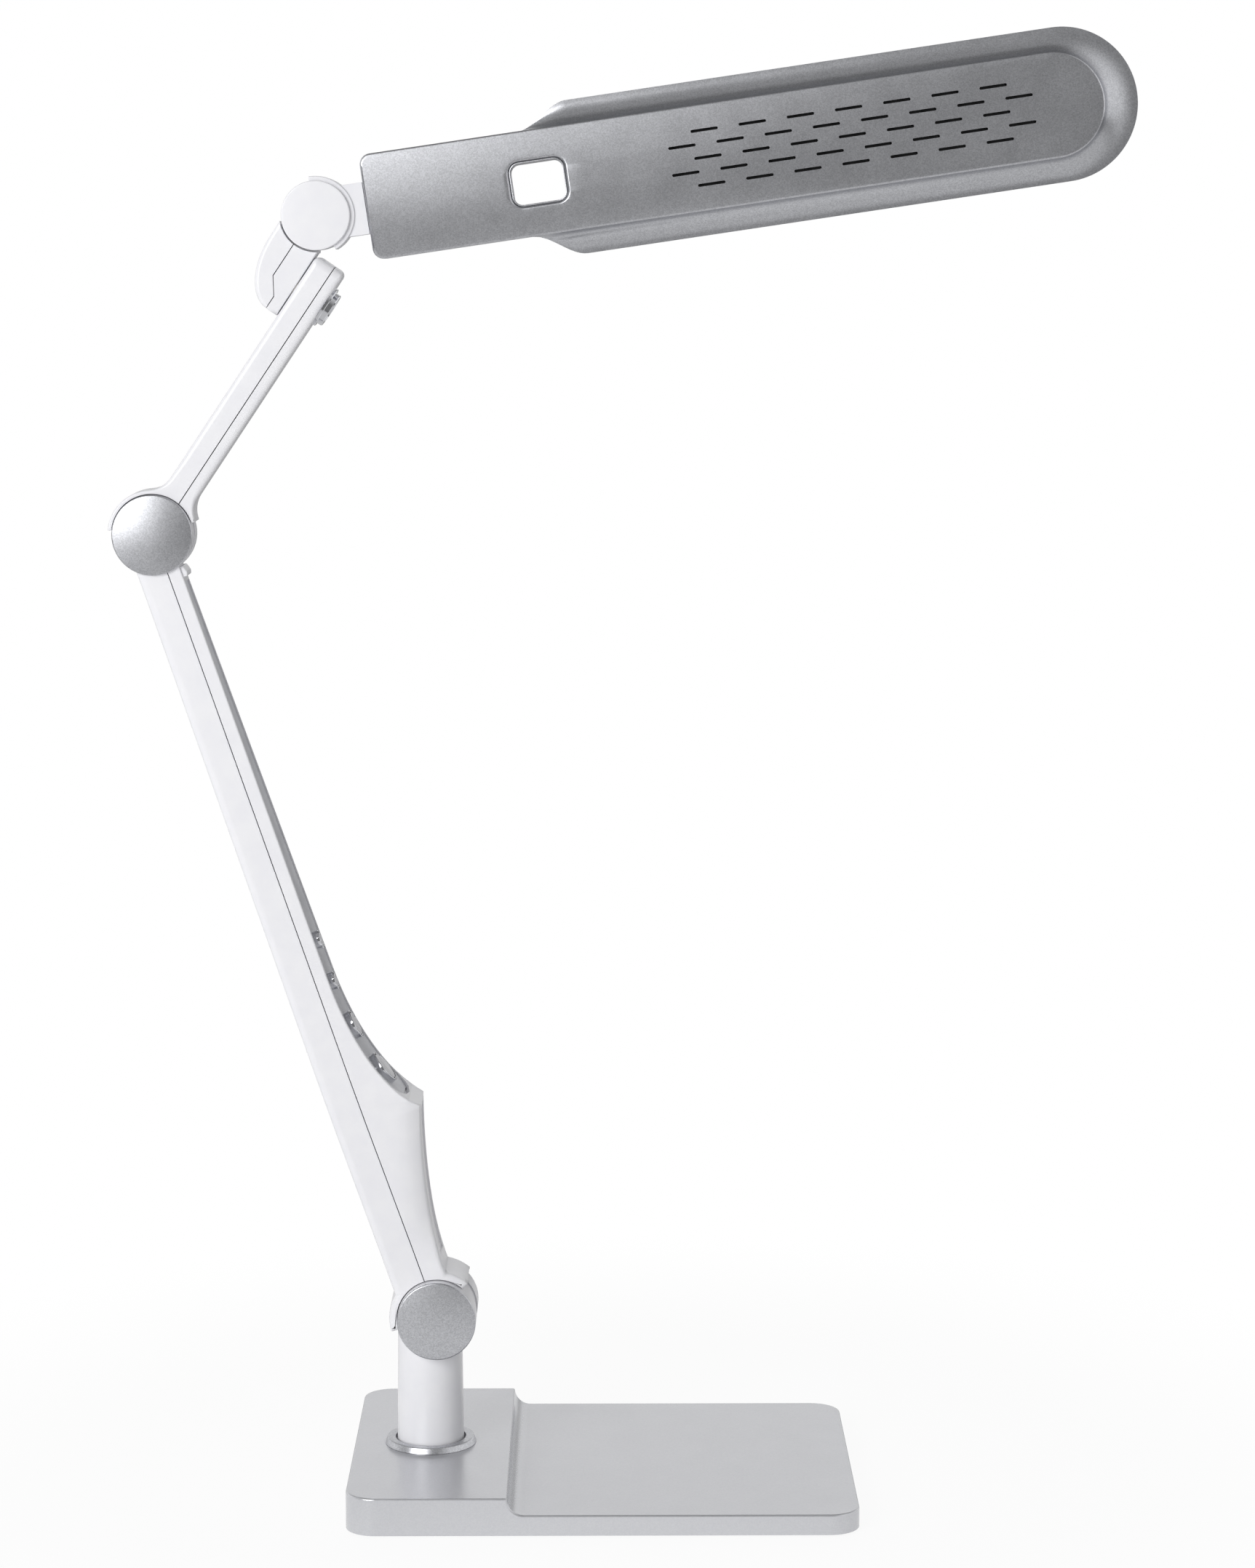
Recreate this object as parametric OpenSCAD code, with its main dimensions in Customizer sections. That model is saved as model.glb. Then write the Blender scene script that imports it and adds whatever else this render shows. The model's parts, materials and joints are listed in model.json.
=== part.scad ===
// Desk lamp with a jointed arm: a stepped weighted base, a turning post, a broad lower arm with
// four push buttons, a slim upper arm, a swivelling neck and a coved lamp head with vent slots.
// X runs to the right, Y away from the viewer and Z up. The origin lies on the desk under the post.

/* [Base] */
// Width of the base from left to right
base_w = 216; // [190:1:250]
// Depth of the base from front to back
base_d = 160; // [130:1:200]
// Height of the thick end that carries the post
base_t = 17; // [16:0.5:24]
// Height of the thin end
thin_t = 9.7; // [8.6:0.1:12]
// Radius of the base corners seen from above
base_corner_r = 13; // [8:0.5:20]
// Radius of the upper edge of the base
base_edge_r = 0.8; // [0.6:0.2:2]
// Wall of the base cover
base_wall = 2.4; // [1.8:0.1:3]
// Distance from the post to the left side of the base
post_inset = 33; // [30:1:45]
// Distance from the post to the ridge of the step
step_x = 35; // [32:1:50]
// Thickness of the foam pad under the base
pad_t = 1; // [0.6:0.1:2]
// Distance of the foam pad from the sides of the base
pad_inset = 4; // [3:0.5:8]
// Thickness of the steel bottom plate
plate_t = 2; // [1.2:0.1:2.4]
// Radius of the base screws
base_screw_r = 1.5; // [1.2:0.1:2]
// Distance of the base screws from the sides of the base
base_screw_inset = 15; // [14:0.5:24]
// Radius of the power inlet sleeve
jack_r = 4; // [3.5:0.1:4.5]
// Depth of the power inlet
jack_l = 13; // [10:0.5:18]

/* [Post] */
// Radius of the post at its foot
post_r = 14.5; // [13:0.1:17]
// Radius of the post under the lower joint
post_top_r = 14; // [12.5:0.1:15]
// Radius of the pivot spigot in the base
spigot_r = 9; // [7:0.1:10]
// Height of the lower joint above the desk
hinge_z = 76; // [70:0.5:110]
// Distance of the lower joint to the right of the post
hinge_x = 3.5; // [0:0.1:5]
// Height of the silver collar round the post
collar_h = 2.7; // [2:0.1:5]
// Radius of the silver collar at its widest
collar_r = 19.8; // [18.5:0.1:24]

/* [Lower joint and arm] */
// Radius of the round cheeks of the lower joint and the elbow
drum_r = 17; // [15.5:0.1:19]
// Half width of the lower joint without its caps
lower_half_w = 18.5; // [17:0.1:22]
// Thickness of the tongue in the lower joint
lower_tongue_w = 9; // [7:0.1:11]
// Radius of the lower joint bolt
lower_bolt_r = 3; // [2.5:0.1:4]
// Thickness of the joint caps
cap_t = 2.2; // [1.5:0.1:3]
// Distance between the lower joint and the elbow
lower_len = 358; // [330:1:420]
// Lean of the lower arm to the left, in degrees
lower_lean = 19.2; // [15:0.1:30]
// Distance from the joint line to the outer face of the lower arm
arm_outer_t = 13.6; // [12:0.1:15]
// Distance from the joint line to the inner face of the lower arm
arm_inner_t = 6.2; // [5.5:0.1:8]
// Width of the lower arm at the lower joint
hub_w = 30; // [27:0.5:33]
// Width of the lower arm at the control panel
panel_end_w = 36; // [34:0.5:42]
// Width of the lower arm at the elbow
elbow_w = 18; // [16:0.5:22]
// Wall of the hoods that wrap round the joints
hood_wall = 3.2; // [2.4:0.1:4]
// Height of the tip of the fin along the lower arm
fin_s = 91; // [85:1:110]
// Reach of the tip of the fin from the joint line
fin_reach = 25; // [22:0.5:32]
// Length of the hollow curve above the fin
flare_len = 64; // [55:1:80]

/* [Buttons] */
// Radius of the two large buttons
big_button_r = 5.4; // [4.5:0.1:6]
// Radius of the two small buttons
small_button_r = 3; // [2.5:0.1:4]
// Travel of a button
button_travel = 0.6; // [0.4:0.1:1]
// Height of a button above its panel
button_proud = 1.6; // [1.2:0.1:2.4]
// Thickness of the control panel strip
panel_t = 1.5; // [1.2:0.1:2]
// Depth of the control panel below the edges of the arm
panel_sink = 0.5; // [0.3:0.1:0.8]

/* [Elbow and upper arm] */
// Half width of the elbow without its caps
elbow_half_w = 9.6; // [9:0.1:12]
// Thickness of the tongues in the elbow and the head joint
slim_tongue_w = 6; // [5:0.1:7]
// Radius of the elbow bolt
elbow_bolt_r = 2.5; // [2:0.1:3]
// Distance from the elbow to the neck swivel
upper_len = 120; // [100:1:160]
// Length of the upper arm past the neck swivel
upper_end = 16.3; // [14:0.1:20]
// Lean of the upper arm to the right, in degrees
upper_lean = 34; // [28:0.1:45]
// Thickness of the upper arm
upper_t = 13.8; // [12.5:0.1:16]
// Distance of the upper arm's joint line from its middle
upper_split = 1.9; // [1:0.1:3]
// Wall of the thin hood round the elbow
slim_hood_wall = 1.6; // [1.2:0.1:2.4]
// Radius of the fillets where the upper arm meets its hood
upper_fillet_r = 12; // [8:0.5:16]
// Radius of the neck swivel bolt
neck_bolt_r = 2.5; // [2:0.1:3]
// Radius of the chrome cap on the neck swivel
swivel_cap_r = 9.1; // [7.5:0.1:9.4]
// Height of the chrome cap on the neck swivel
swivel_cap_h = 3.6; // [3:0.1:5]

/* [Neck and head joint] */
// Distance from the neck swivel to the head joint along the upper arm
neck_reach = 29.7; // [28:0.1:36]
// Distance from the middle of the upper arm to the head joint
neck_rise = 16.4; // [15.5:0.1:20]
// Thickness of the neck
neck_t = 20.3; // [19:0.1:24]
// Width of the neck
neck_w = 16; // [15:0.5:18]
// Radius of the round cheeks of the head joint
head_drum_r = 14.4; // [13:0.1:16]
// Half width of the head joint without its caps
head_half_w = 8; // [7.6:0.1:10]
// Radius of the head joint bolt
head_bolt_r = 2; // [1.5:0.1:2.5]
// Height of the stub between the head joint and the head
stub_h = 21.6; // [18:0.1:24]
// Distance from the head joint to the end of the head
head_gap = 21.5; // [20.5:0.1:26]
// Radius of the twist spigot inside the head
twist_r = 3.4; // [3:0.1:3.6]
// Length of the twist spigot inside the head
twist_l = 22; // [16:0.5:30]

/* [Head] */
// Rise of the head to the right, in degrees
head_rise = 8.4; // [0:0.1:20]
// Length of the head
head_len = 325; // [280:1:380]
// Width of the flat face of the head
face_w = 43.8; // [40:0.2:52]
// Width of the hollow cove on each side of the face
cove_w = 10.1; // [6:0.1:14]
// Depth of the hollow cove
cove_d = 9; // [7:0.1:12]
// Wall of the head shells
head_wall = 1.6; // [1.2:0.1:2]
// Depth of the white lower frame of the head
frame_d = 7.4; // [6.6:0.1:10]
// Distance along the head at which the cove begins to flare
flare_start = 66.5; // [60:0.5:75]
// Length of the flare
flare_run = 22; // [14:0.5:30]
// Extra length of the cove at the tip of the head
tip_shift = 4.6; // [0:0.1:8]
// Radius of the corners at the joint end of the head
head_corner_r = 4.5; // [3:0.1:6]
// Length of the window through the head
window_l = 21; // [16:0.2:26]
// Height of the window through the head
window_h = 16; // [12:0.2:20]
// Distance along the head to the middle of the window
window_x = 72.4; // [50:0.2:80]
// Length of a vent slot
slot_l = 11.5; // [8:0.1:14]
// Width of a vent slot
slot_w = 1.4; // [1:0.1:2]
// Distance between vent slots along a row
slot_pitch = 20.2; // [17:0.1:22]
// Distance between the rows of vent slots
slot_row = 5.6; // [4.5:0.1:6.5]
// Distance along the head to the first vent slot
slot_x = 127.8; // [115:0.2:130]

/* [Fits] */
// Clearance round a bolt or a spigot that turns
run_fit = 0.05; // [0.03:0.01:0.08]
// Clearance between pieces that move past each other
move_gap = 0.4; // [0.3:0.05:0.6]
// Clearance between fixed pieces
seat_gap = 0.15; // [0.1:0.05:0.25]
// Clearance at the faces of a friction washer
face_gap = 0.08; // [0.05:0.01:0.12]
// Thickness of a friction washer
washer_t = 0.8; // [0.5:0.1:1.2]

/* [Hidden] */

$fn = 64;
facet_fn = 32;
far = 400;
overcut = 1;
thin = 0.01;

// Where the joints lie
elbow_x = hinge_x - lower_len * sin(lower_lean);
elbow_z = hinge_z + lower_len * cos(lower_lean);
head_u = upper_len + neck_reach;
head_x = elbow_x + head_u * sin(upper_lean) - neck_rise * cos(upper_lean);
head_z = elbow_z + head_u * cos(upper_lean) + neck_rise * sin(upper_lean);

// Base levels and outline
base_left = -post_inset;
base_right = base_w - post_inset;
base_mid = (base_left + base_right) / 2;
plate_top = pad_t + plate_t;
thick_inside = base_t - base_wall;
thin_inside = thin_t - base_wall;
step_r = base_t - thin_t;
boss_r = base_screw_r + 2.2;
inner_ease = 0.3;
screw_head = 1.9;
screw_head_r = screw_head * base_screw_r;
screw_spots = [
    for (x = [base_left + base_screw_inset, base_mid + step_x / 2, base_right - base_screw_inset])
    for (side = [-1, 1])
    [x, side * (base_d / 2 - base_screw_inset)]
];

// Swivel of the post
bush_wall = 3;
bush_r = spigot_r + run_fit + bush_wall;
bush_flange_t = 1;
bush_flange_r = post_r - 0.4;
bush_bottom = plate_top + 5;
post_foot = base_t + bush_flange_t + face_gap;
nut_t = 3;
thrust_t = bush_bottom - face_gap - nut_t - plate_top - 1;
collar_bore = post_r + 0.6;
collar_top_r = collar_r - 2;
collar_lip = 0.7;

// Power inlet
jack_z = (plate_top + thick_inside) / 2;
jack_bore = jack_r - 1.2;
jack_pin_r = 1;
jack_body = 2 * jack_r + 1.6;
jack_face = base_d / 2 - base_wall;
jack_pocket = jack_r + seat_gap;

// Caps and washers of the friction joints
cap_bevel = 0.6;
plug_l = 1;
plug_wall = 1.4;
washer_inset = 4;

// Lower joint
hood_in = drum_r + move_gap;
hood_out = hood_in + hood_wall;
hood_from = 30;
hood_to = 178;
inner_hood_to = 110;
lower_cheek = lower_tongue_w / 2 + 2 * face_gap + washer_t;
tongue_r = drum_r - 0.6;
post_shoulder = hinge_z - drum_r * 0.59;

// Lower arm
arm_split = 0.4;
arm_root = hood_in - 2;
arm_top = lower_len - drum_r * 0.55;
arm_edge_r = 4;
arm_wall = 2.6;
arm_reach = 60;
outer_taper = 1.8;
flare_s = fin_s + flare_len;
flare_turn = 70;
flare_a = flare_len / sin(flare_turn);
flare_b = (fin_reach - arm_inner_t) / (1 - cos(flare_turn));
fin_foot_s = 21;
fin_foot_t = 10.3;
fin_power = 1.6;
fin_tip_r = 1.2;
taper_from = fin_s + 25;
taper_rows = [
    [hub_w, -drum_r * 2], [hub_w, drum_r * 2], [panel_end_w, fin_s], [panel_end_w, taper_from],
    [elbow_w, arm_top - drum_r], [elbow_w, lower_len + drum_r * 2],
];
panel_edge = 2.6;
panel_from = fin_s + 5;
panel_top = lower_len - drum_r - 6;
groove_d = 0.8;
tab_l = 5;
tab_rise = 2.2;
cavity_y = elbow_w - 2 * arm_wall - 2;
cavity_skin = 1.6;
cavity_from = fin_s + 6;
cavity_to = lower_len - drum_r - 16;
arm_screw_low = 100;
arm_screw_high = 40;
arm_screw_l = 8;
arm_screw_head = 2.8;

// Buttons, from the large one beside the fin to the small one highest up the arm
button_first = 18;
button_gap = 22;
mid_button_gap = 21;
small_button_gap = 19;
button_low = fin_s + button_first + button_gap;
button_s = [fin_s + button_first, button_low, button_low + mid_button_gap,
    button_low + mid_button_gap + small_button_gap];
stem_room = 60;
board_end = 10;
button_r = [big_button_r + 1.2, big_button_r, small_button_r, small_button_r];
bezel_wall = 1.1;
bezel_proud = 0.9;
button_skirt = panel_t + 1;
stem_r = 1.4;
board_t = 1.4;
board_x = arm_inner_t - 9.2;
switch_h = 4;
switch_w = 5;

// Elbow
elbow_cheek = slim_tongue_w / 2 + 2 * face_gap + washer_t;
slim_hood_out = hood_in + slim_hood_wall;
slim_hood_from = 51;
slim_hood_to = 208;
upper_half = upper_t / 2;
upper_top = upper_len + upper_end;
upper_edge_r = 2.4;
upper_end_r = 2.5;
upper_crown = 5;
upper_screw_l = 7;
fillet_n = upper_half + upper_fillet_r;
fillet_u = sqrt(pow(slim_hood_out + upper_fillet_r, 2) - pow(fillet_n, 2));

// Neck
neck_gap = 0.4;
neck_in = -upper_half - neck_gap;
neck_out = neck_in - neck_t;
neck_split = neck_in - neck_t / 2;
neck_back = upper_len - 14;
neck_nut_room = 7;
neck_floor = 4;
neck_bolt_top = upper_half + neck_gap + neck_floor + washer_t + bolt_head_h(neck_bolt_r) + 2 * face_gap;
neck_screw_u = upper_len + neck_nut_room + 2.6;
neck_screw_l = 8;
neck_edge_r = 1.8;
swivel_flange_t = 1.2;
swivel_neck = 1.6;

// Head joint
head_cheek = slim_tongue_w / 2 + 2 * face_gap + washer_t;
head_cut_r = head_drum_r + 0.8;
head_tongue_r = head_drum_r - 0.6;
flange_r = head_drum_r + 1.9;
flange_from = -68;
flange_to = 92;
stub_w = 2 * head_half_w - 2;
stub_x = head_drum_r * 0.6;
clip_x = head_gap + twist_l - 3;
clip_t = 1;
clip_groove_r = twist_r - 0.8;

// Head
rim_t = 1.5;
face_y = -(cove_d + rim_t);
frame_back = frame_d - 0.4;
frame_inside = frame_back - head_wall;
shell_back = -0.4;
frame_front = shell_back + seat_gap;
boss_end = frame_front + 1;
tip_c = head_gap + head_len - face_w / 2 - cove_w - tip_shift;
bush_out = twist_r + run_fit + 1.2;
arc_n = 7;
flare_n = 7;
tip_n = 20;
cove_n = 6;
cove_ease = 0.2;
slot_count = 1 + floor((tip_c + face_w / 5 - head_gap - slot_x - slot_l) / slot_pitch);
frame_screw_r = 1.2;
frame_screw_head_r = screw_head * frame_screw_r;
frame_boss_r = 2 * frame_screw_r;
frame_screw_l = 12;
flare_end = head_gap + flare_start + flare_run;
frame_screw_spots = [
    for (x = [head_gap + 10, flare_end + 6])
    for (side = [-1, 1])
    [x, side * (face_w / 2 - 7)]
];

// Light panel in the head
board_gap = 2.6;
board_y = face_y + head_wall + board_gap;
light_x = flare_end + 17;
light_l = tip_c + 13 - light_x;
light_w = face_w - 4;
light_mid = light_x + light_l / 2;
light_corner_r = light_w / 2 - 3;
led_pitch = 12;
led_w = 2.8;
led_h = 0.8;
led_margin = 14;
led_n = 1 + floor((light_l - 2 * led_margin) / led_pitch);
led_board_w = light_w - 12;
board_spots = [light_x + 6, light_x + light_l - 6];
pane_t = 2;
pane_lip = 2.5;
pane_rim = 0.6;
liner_wall = 1.2;
liner_flange = 1.3;
liner_sink = 0.5;
liner_rib = 1;
liner_seat = face_y + head_wall + seat_gap;
window_corner_r = 3.2;

// Colours as they look in the photograph
silver = [0.68, 0.68, 0.70];
white = [0.93, 0.93, 0.95];
chrome = [0.80, 0.82, 0.84];
steel = [0.55, 0.56, 0.58];
black = [0.08, 0.08, 0.09];
polymer = [0.85, 0.83, 0.78];

// Frames of the arm's members, each at its joint
module in_lower_arm() {
    translate([hinge_x, 0, hinge_z]) rotate([0, -lower_lean, 0]) children();
}

module in_upper_arm() {
    translate([elbow_x, 0, elbow_z]) rotate([0, upper_lean, 0]) children();
}

module in_head() {
    translate([head_x, 0, head_z]) rotate([0, -head_rise, 0]) children();
}

// A cylinder along Y between two depths
module along_y(r, from, to) {
    translate([0, to, 0]) rotate([90, 0, 0]) cylinder(r = r, h = to - from);
}

// An outline drawn in X and Z, carried through a width along Y
module side_extrude(width) {
    rotate([90, 0, 0]) linear_extrude(width, center = true) children();
}

// An outline drawn in X and Z, carried from one depth to another
module depth_extrude(from, to) {
    translate([0, to, 0]) rotate([90, 0, 0]) linear_extrude(to - from) children();
}

// A pie slice in X and Z
module slice(from, to, r) {
    steps = 24;
    polygon(concat([[0, 0]], [for (i = [0:steps]) let (a = from + (to - from) * i / steps)
        [r * cos(a), r * sin(a)]]));
}

module rounded_rect(w, h, r) {
    square([w - 2 * r, h], center = true);
    square([w, h - 2 * r], center = true);
    for (x = [-1, 1], y = [-1, 1])
        translate([x * (w / 2 - r), y * (h / 2 - r)]) circle(r);
}

// A hood: part of a ring round a joint, with eased outer edges
module hood(inner, outer, width, from, to, ease) {
    intersection() {
        rotate([90, 0, 0]) rotate_extrude() polygon([
            [inner, -width / 2], [outer - ease, -width / 2], [outer - ease * 0.3, -width / 2 + ease * 0.3],
            [outer, -width / 2 + ease], [outer, width / 2 - ease],
            [outer - ease * 0.3, width / 2 - ease * 0.3], [outer - ease, width / 2], [inner, width / 2]]);
        side_extrude(width + 2) slice(from, to, outer * 1.3);
    }
}

// Pieces that every friction joint has, on an axis along Y
module joint_cap(r, seat, plug_r, side) {
    rim = seat + cap_t - cap_bevel;
    mirror([0, side < 0 ? 1 : 0, 0]) {
        along_y(r, seat, rim);
        translate([0, rim, 0]) rotate([-90, 0, 0]) cylinder(r1 = r, r2 = r - cap_bevel, h = cap_bevel);
        difference() {
            along_y(plug_r - seat_gap, seat - plug_l, seat + plug_l / 2);
            along_y(plug_r - plug_wall, seat - 2 * plug_l, seat);
        }
    }
}

function bolt_head_r(r) = r * 1.75;
function bolt_head_h(r) = r * 0.8;
function bolt_seat(r, half) = half - bolt_head_h(r) - 1.3;
function pocket_r(r) = bolt_head_r(r) + 0.4;

module joint_bolt(r, half) {
    along_y(r, -bolt_seat(r, half), bolt_seat(r, half) + bolt_head_h(r));
    difference() {
        along_y(bolt_head_r(r), -bolt_seat(r, half) - bolt_head_h(r), -bolt_seat(r, half));
        along_y(r * 0.8, -half, -bolt_seat(r, half) - bolt_head_h(r) * 0.45, $fn = 6);
    }
}

module joint_nut(r, half) {
    difference() {
        along_y(bolt_head_r(r), bolt_seat(r, half), bolt_seat(r, half) + bolt_head_h(r), $fn = 6);
        along_y(r + run_fit, bolt_seat(r, half) - overcut, half);
    }
}

module joint_bore(r, half) {
    along_y(r + run_fit, -half - overcut, half + overcut);
    for (side = [0, 1])
        mirror([0, side, 0]) along_y(pocket_r(r), bolt_seat(r, half), half + overcut);
}

module joint_washers(r, outer_r, tongue_w) {
    for (side = [0, 1])
        mirror([0, side, 0]) difference() {
            along_y(outer_r, tongue_w / 2 + face_gap, tongue_w / 2 + face_gap + washer_t);
            along_y(r + run_fit, 0, tongue_w);
        }
}

// A countersunk screw standing on its head
module flat_screw(r, length) {
    cylinder(r1 = screw_head * r, r2 = r, h = r);
    cylinder(r = r, h = length);
}

// A slab of the base with rounded corners on the left and, if asked for, on the right
module base_slab(right, top, inset, ease, right_r) {
    left_r = base_corner_r - inset;
    spots = [
        [base_left + inset + left_r, left_r], [right - inset - right_r, right_r],
    ];
    hull()
        for (spot = spots, side = [-1, 1])
            translate([spot[0], side * (base_d / 2 - inset - spot[1]), 0]) rounded_puck(spot[1], top, ease);
}

module rounded_puck(r, top, ease) {
    steps = 4;
    rotate_extrude($fn = facet_fn) polygon(concat([[0, 0], [r, 0]],
        [for (i = [0:steps]) let (a = 90 * i / steps)
            [r - ease * (1 - cos(a)), top - ease * (1 - sin(a))]],
        [[0, top]]));
}

module base_bulk(inset, thick_top, thin_top, ease) {
    corner = base_corner_r - inset;
    base_slab(base_right, thin_top, inset, ease, corner);
    base_slab(step_x + inset, thick_top, inset, ease, max(ease, 0.5) + 0.6);
}

module step_cove() {
    depth = base_d - 2 * base_edge_r;
    translate([step_x - base_edge_r, 0, 0]) side_extrude(depth) difference() {
        translate([0, thin_t - base_edge_r]) square([step_r + base_edge_r, step_r]);
        translate([step_r + base_edge_r, thin_t + step_r]) circle(step_r);
    }
}

module desk_pad() color(black)
    translate([base_mid, 0, 0]) linear_extrude(pad_t)
        rounded_rect(base_w - 2 * pad_inset, base_d - 2 * pad_inset, base_corner_r - pad_inset);

module base_plate() color(steel) {
    inset = base_wall + seat_gap;
    difference() {
        translate([base_mid, 0, pad_t]) linear_extrude(plate_t)
            rounded_rect(base_w - 2 * inset, base_d - 2 * inset, base_corner_r - inset);
        for (spot = screw_spots)
            translate([spot[0], spot[1], pad_t]) {
                cylinder(r1 = screw_head_r + seat_gap, r2 = base_screw_r + seat_gap, h = base_screw_r);
                cylinder(r = base_screw_r + seat_gap, h = plate_t + overcut);
            }
    }
}

module weight_slab(left, right, top) {
    inset = base_wall + 2 * seat_gap;
    half = base_d / 2 - inset - base_corner_r * 0.7;
    translate([left + inset, -half, plate_top])
        cube([right - left - 2 * inset, 2 * half, top - plate_top - seat_gap]);
}

module base_weight() color(steel) difference() {
    union() {
        weight_slab(base_left, base_right, thin_inside);
        weight_slab(base_left, step_x, thick_inside);
    }
    translate([0, 0, plate_top - overcut]) cylinder(r = bush_r + 6, h = base_t);
    for (spot = screw_spots)
        translate([spot[0], spot[1], plate_top - overcut]) cylinder(r = boss_r + 2 * seat_gap, h = base_t);
    translate([-jack_body / 2 - 1, jack_face - jack_l - 1, plate_top - overcut])
        cube([jack_body + 2, jack_l + 2, base_t]);
}

// Height to which a screw boss runs into the top wall of the cover
function boss_top(x) = (x < step_x ? thick_inside : thin_inside) + base_wall / 4;

module base_cover() color(silver) {
    difference() {
        union() {
            difference() {
                union() {
                    base_bulk(0, base_t, thin_t, base_edge_r);
                    step_cove();
                }
                translate([0, 0, -overcut])
                    base_bulk(base_wall, thick_inside + overcut, thin_inside + overcut, inner_ease);
            }
            for (spot = screw_spots)
                translate([spot[0], spot[1], plate_top])
                    cylinder(r = boss_r, h = boss_top(spot[0]) - plate_top);
        }
        translate([-far / 2, -far / 2, pad_t - far]) cube(far);
        cylinder(r = bush_r + seat_gap, h = base_t + overcut);
        translate([0, 0, jack_z]) along_y(jack_pocket, jack_face - overcut, base_d / 2 + overcut);
        for (spot = screw_spots)
            translate([spot[0], spot[1], 0]) cylinder(r = base_screw_r + run_fit, h = thin_inside - 0.4);
    }
}

module base_screws() color(steel)
    for (spot = screw_spots)
        translate([spot[0], spot[1], pad_t]) flat_screw(base_screw_r, thin_inside - pad_t - 1);

module swivel_collar() color(silver)
    translate([0, 0, base_t]) rotate_extrude() polygon([
        [collar_bore, 0], [collar_r - 0.5, 0], [collar_r, collar_lip],
        [collar_top_r + 0.6, collar_h - 0.4], [collar_top_r, collar_h], [collar_bore, collar_h]]);

module swivel_bush() color(polymer) difference() {
    union() {
        translate([0, 0, bush_bottom]) cylinder(r = bush_r, h = base_t - bush_bottom);
        translate([0, 0, base_t]) cylinder(r = bush_flange_r, h = bush_flange_t);
    }
    cylinder(r = spigot_r + run_fit, h = base_t + 2 * bush_flange_t);
}

module dc_inlet() color(black) difference() {
    union() {
        translate([-jack_body / 2, jack_face - jack_l, plate_top])
            cube([jack_body, jack_l - seat_gap, jack_z - plate_top + jack_r]);
        translate([0, 0, jack_z]) along_y(jack_r, jack_face - jack_l, base_d / 2);
    }
    translate([0, 0, jack_z]) difference() {
        along_y(jack_bore, base_d / 2 - jack_l, base_d / 2 + overcut);
        along_y(jack_pin_r, 0, base_d / 2 - 1);
    }
}

module post() color(white) difference() {
    union() {
        translate([0, 0, post_foot]) cylinder(r1 = post_r, r2 = post_top_r, h = post_shoulder - post_foot);
        translate([0, 0, plate_top + 1]) cylinder(r = spigot_r, h = post_foot - plate_top);
        translate([hinge_x, 0, hinge_z]) along_y(drum_r, -lower_half_w, lower_half_w);
    }
    translate([hinge_x, 0, hinge_z]) {
        along_y(hood_in, -lower_cheek, lower_cheek);
        joint_bore(lower_bolt_r, lower_half_w);
    }
    cylinder(r = spigot_r - 4, h = post_shoulder - 8);
}

module swivel_washer() color(steel) difference() {
    translate([0, 0, bush_bottom - face_gap - thrust_t]) cylinder(r = bush_r, h = thrust_t);
    cylinder(r = spigot_r + run_fit, h = base_t);
}

module swivel_nut() color(steel) difference() {
    translate([0, 0, plate_top + 1]) cylinder(r = bush_r + 1.5, h = nut_t, $fn = 6);
    cylinder(r = spigot_r + run_fit, h = base_t);
}

module at_lower_joint() {
    translate([hinge_x, 0, hinge_z]) children();
}

module lower_cap(side) {
    at_lower_joint() joint_cap(drum_r, lower_half_w, pocket_r(lower_bolt_r), side);
}

module lower_cap_front() color(silver) lower_cap(-1);

module lower_cap_rear() color(silver) lower_cap(1);

module lower_bolt() color(steel) at_lower_joint() joint_bolt(lower_bolt_r, lower_half_w);

module lower_nut() color(steel) at_lower_joint() joint_nut(lower_bolt_r, lower_half_w);

module lower_washers() color(polymer)
    at_lower_joint() joint_washers(lower_bolt_r, drum_r - washer_inset, lower_tongue_w);

// Inner face of the lower arm: straight beside the elbow, a hollow curve down to the fin's tip
function flare_angle(s) = asin(min(1, max(0, (flare_s - s) / flare_a)));
function face_t(s) = arm_inner_t + flare_b * (1 - cos(flare_angle(s)));
function face_slope(s) = atan(flare_b / flare_a * tan(flare_angle(s)));

// Edge of the fin from its foot on the hood up to its tip
function fin_t(s) = fin_foot_t
    + (fin_reach - fin_foot_t) * pow((s - fin_foot_s) / (fin_s - fin_foot_s), fin_power);

module arm_outline() {
    flare_steps = 14;
    fin_steps = 8;
    polygon(concat(
        [[-arm_outer_t, arm_root], [-arm_outer_t + outer_taper, arm_top], [arm_inner_t, arm_top]],
        [for (i = [0:flare_steps]) let (s = flare_s + (fin_s + fin_tip_r - flare_s) * i / flare_steps)
            [face_t(s), s]],
        [for (i = [fin_steps:-1:0]) let (s = fin_foot_s + (fin_s - fin_tip_r - fin_foot_s) * i / fin_steps)
            [fin_t(s), s]],
        [[fin_foot_t, arm_root]]));
}

// Side taper of the lower arm: broad at the fin, narrow at the elbow
module arm_taper(inset) {
    rotate([90, 0, 90]) linear_extrude(2 * arm_reach, center = true) polygon([
        for (side = [1, -1]) each [
            for (row = side > 0 ? taper_rows : [for (i = [len(taper_rows) - 1:-1:0]) taper_rows[i]])
            [side * (row[0] / 2 - inset), row[1]]
        ]]);
}

// Smooth envelope that rounds the outer edges of the lower arm
module arm_envelope() {
    for (i = [1:len(taper_rows) - 1])
        hull()
            for (row = [taper_rows[i - 1], taper_rows[i]])
                translate([(arm_reach - arm_outer_t) / 2, 0, row[1]]) linear_extrude(thin)
                    rounded_rect(arm_reach + arm_outer_t, row[0], arm_edge_r, $fn = facet_fn);
}

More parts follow.
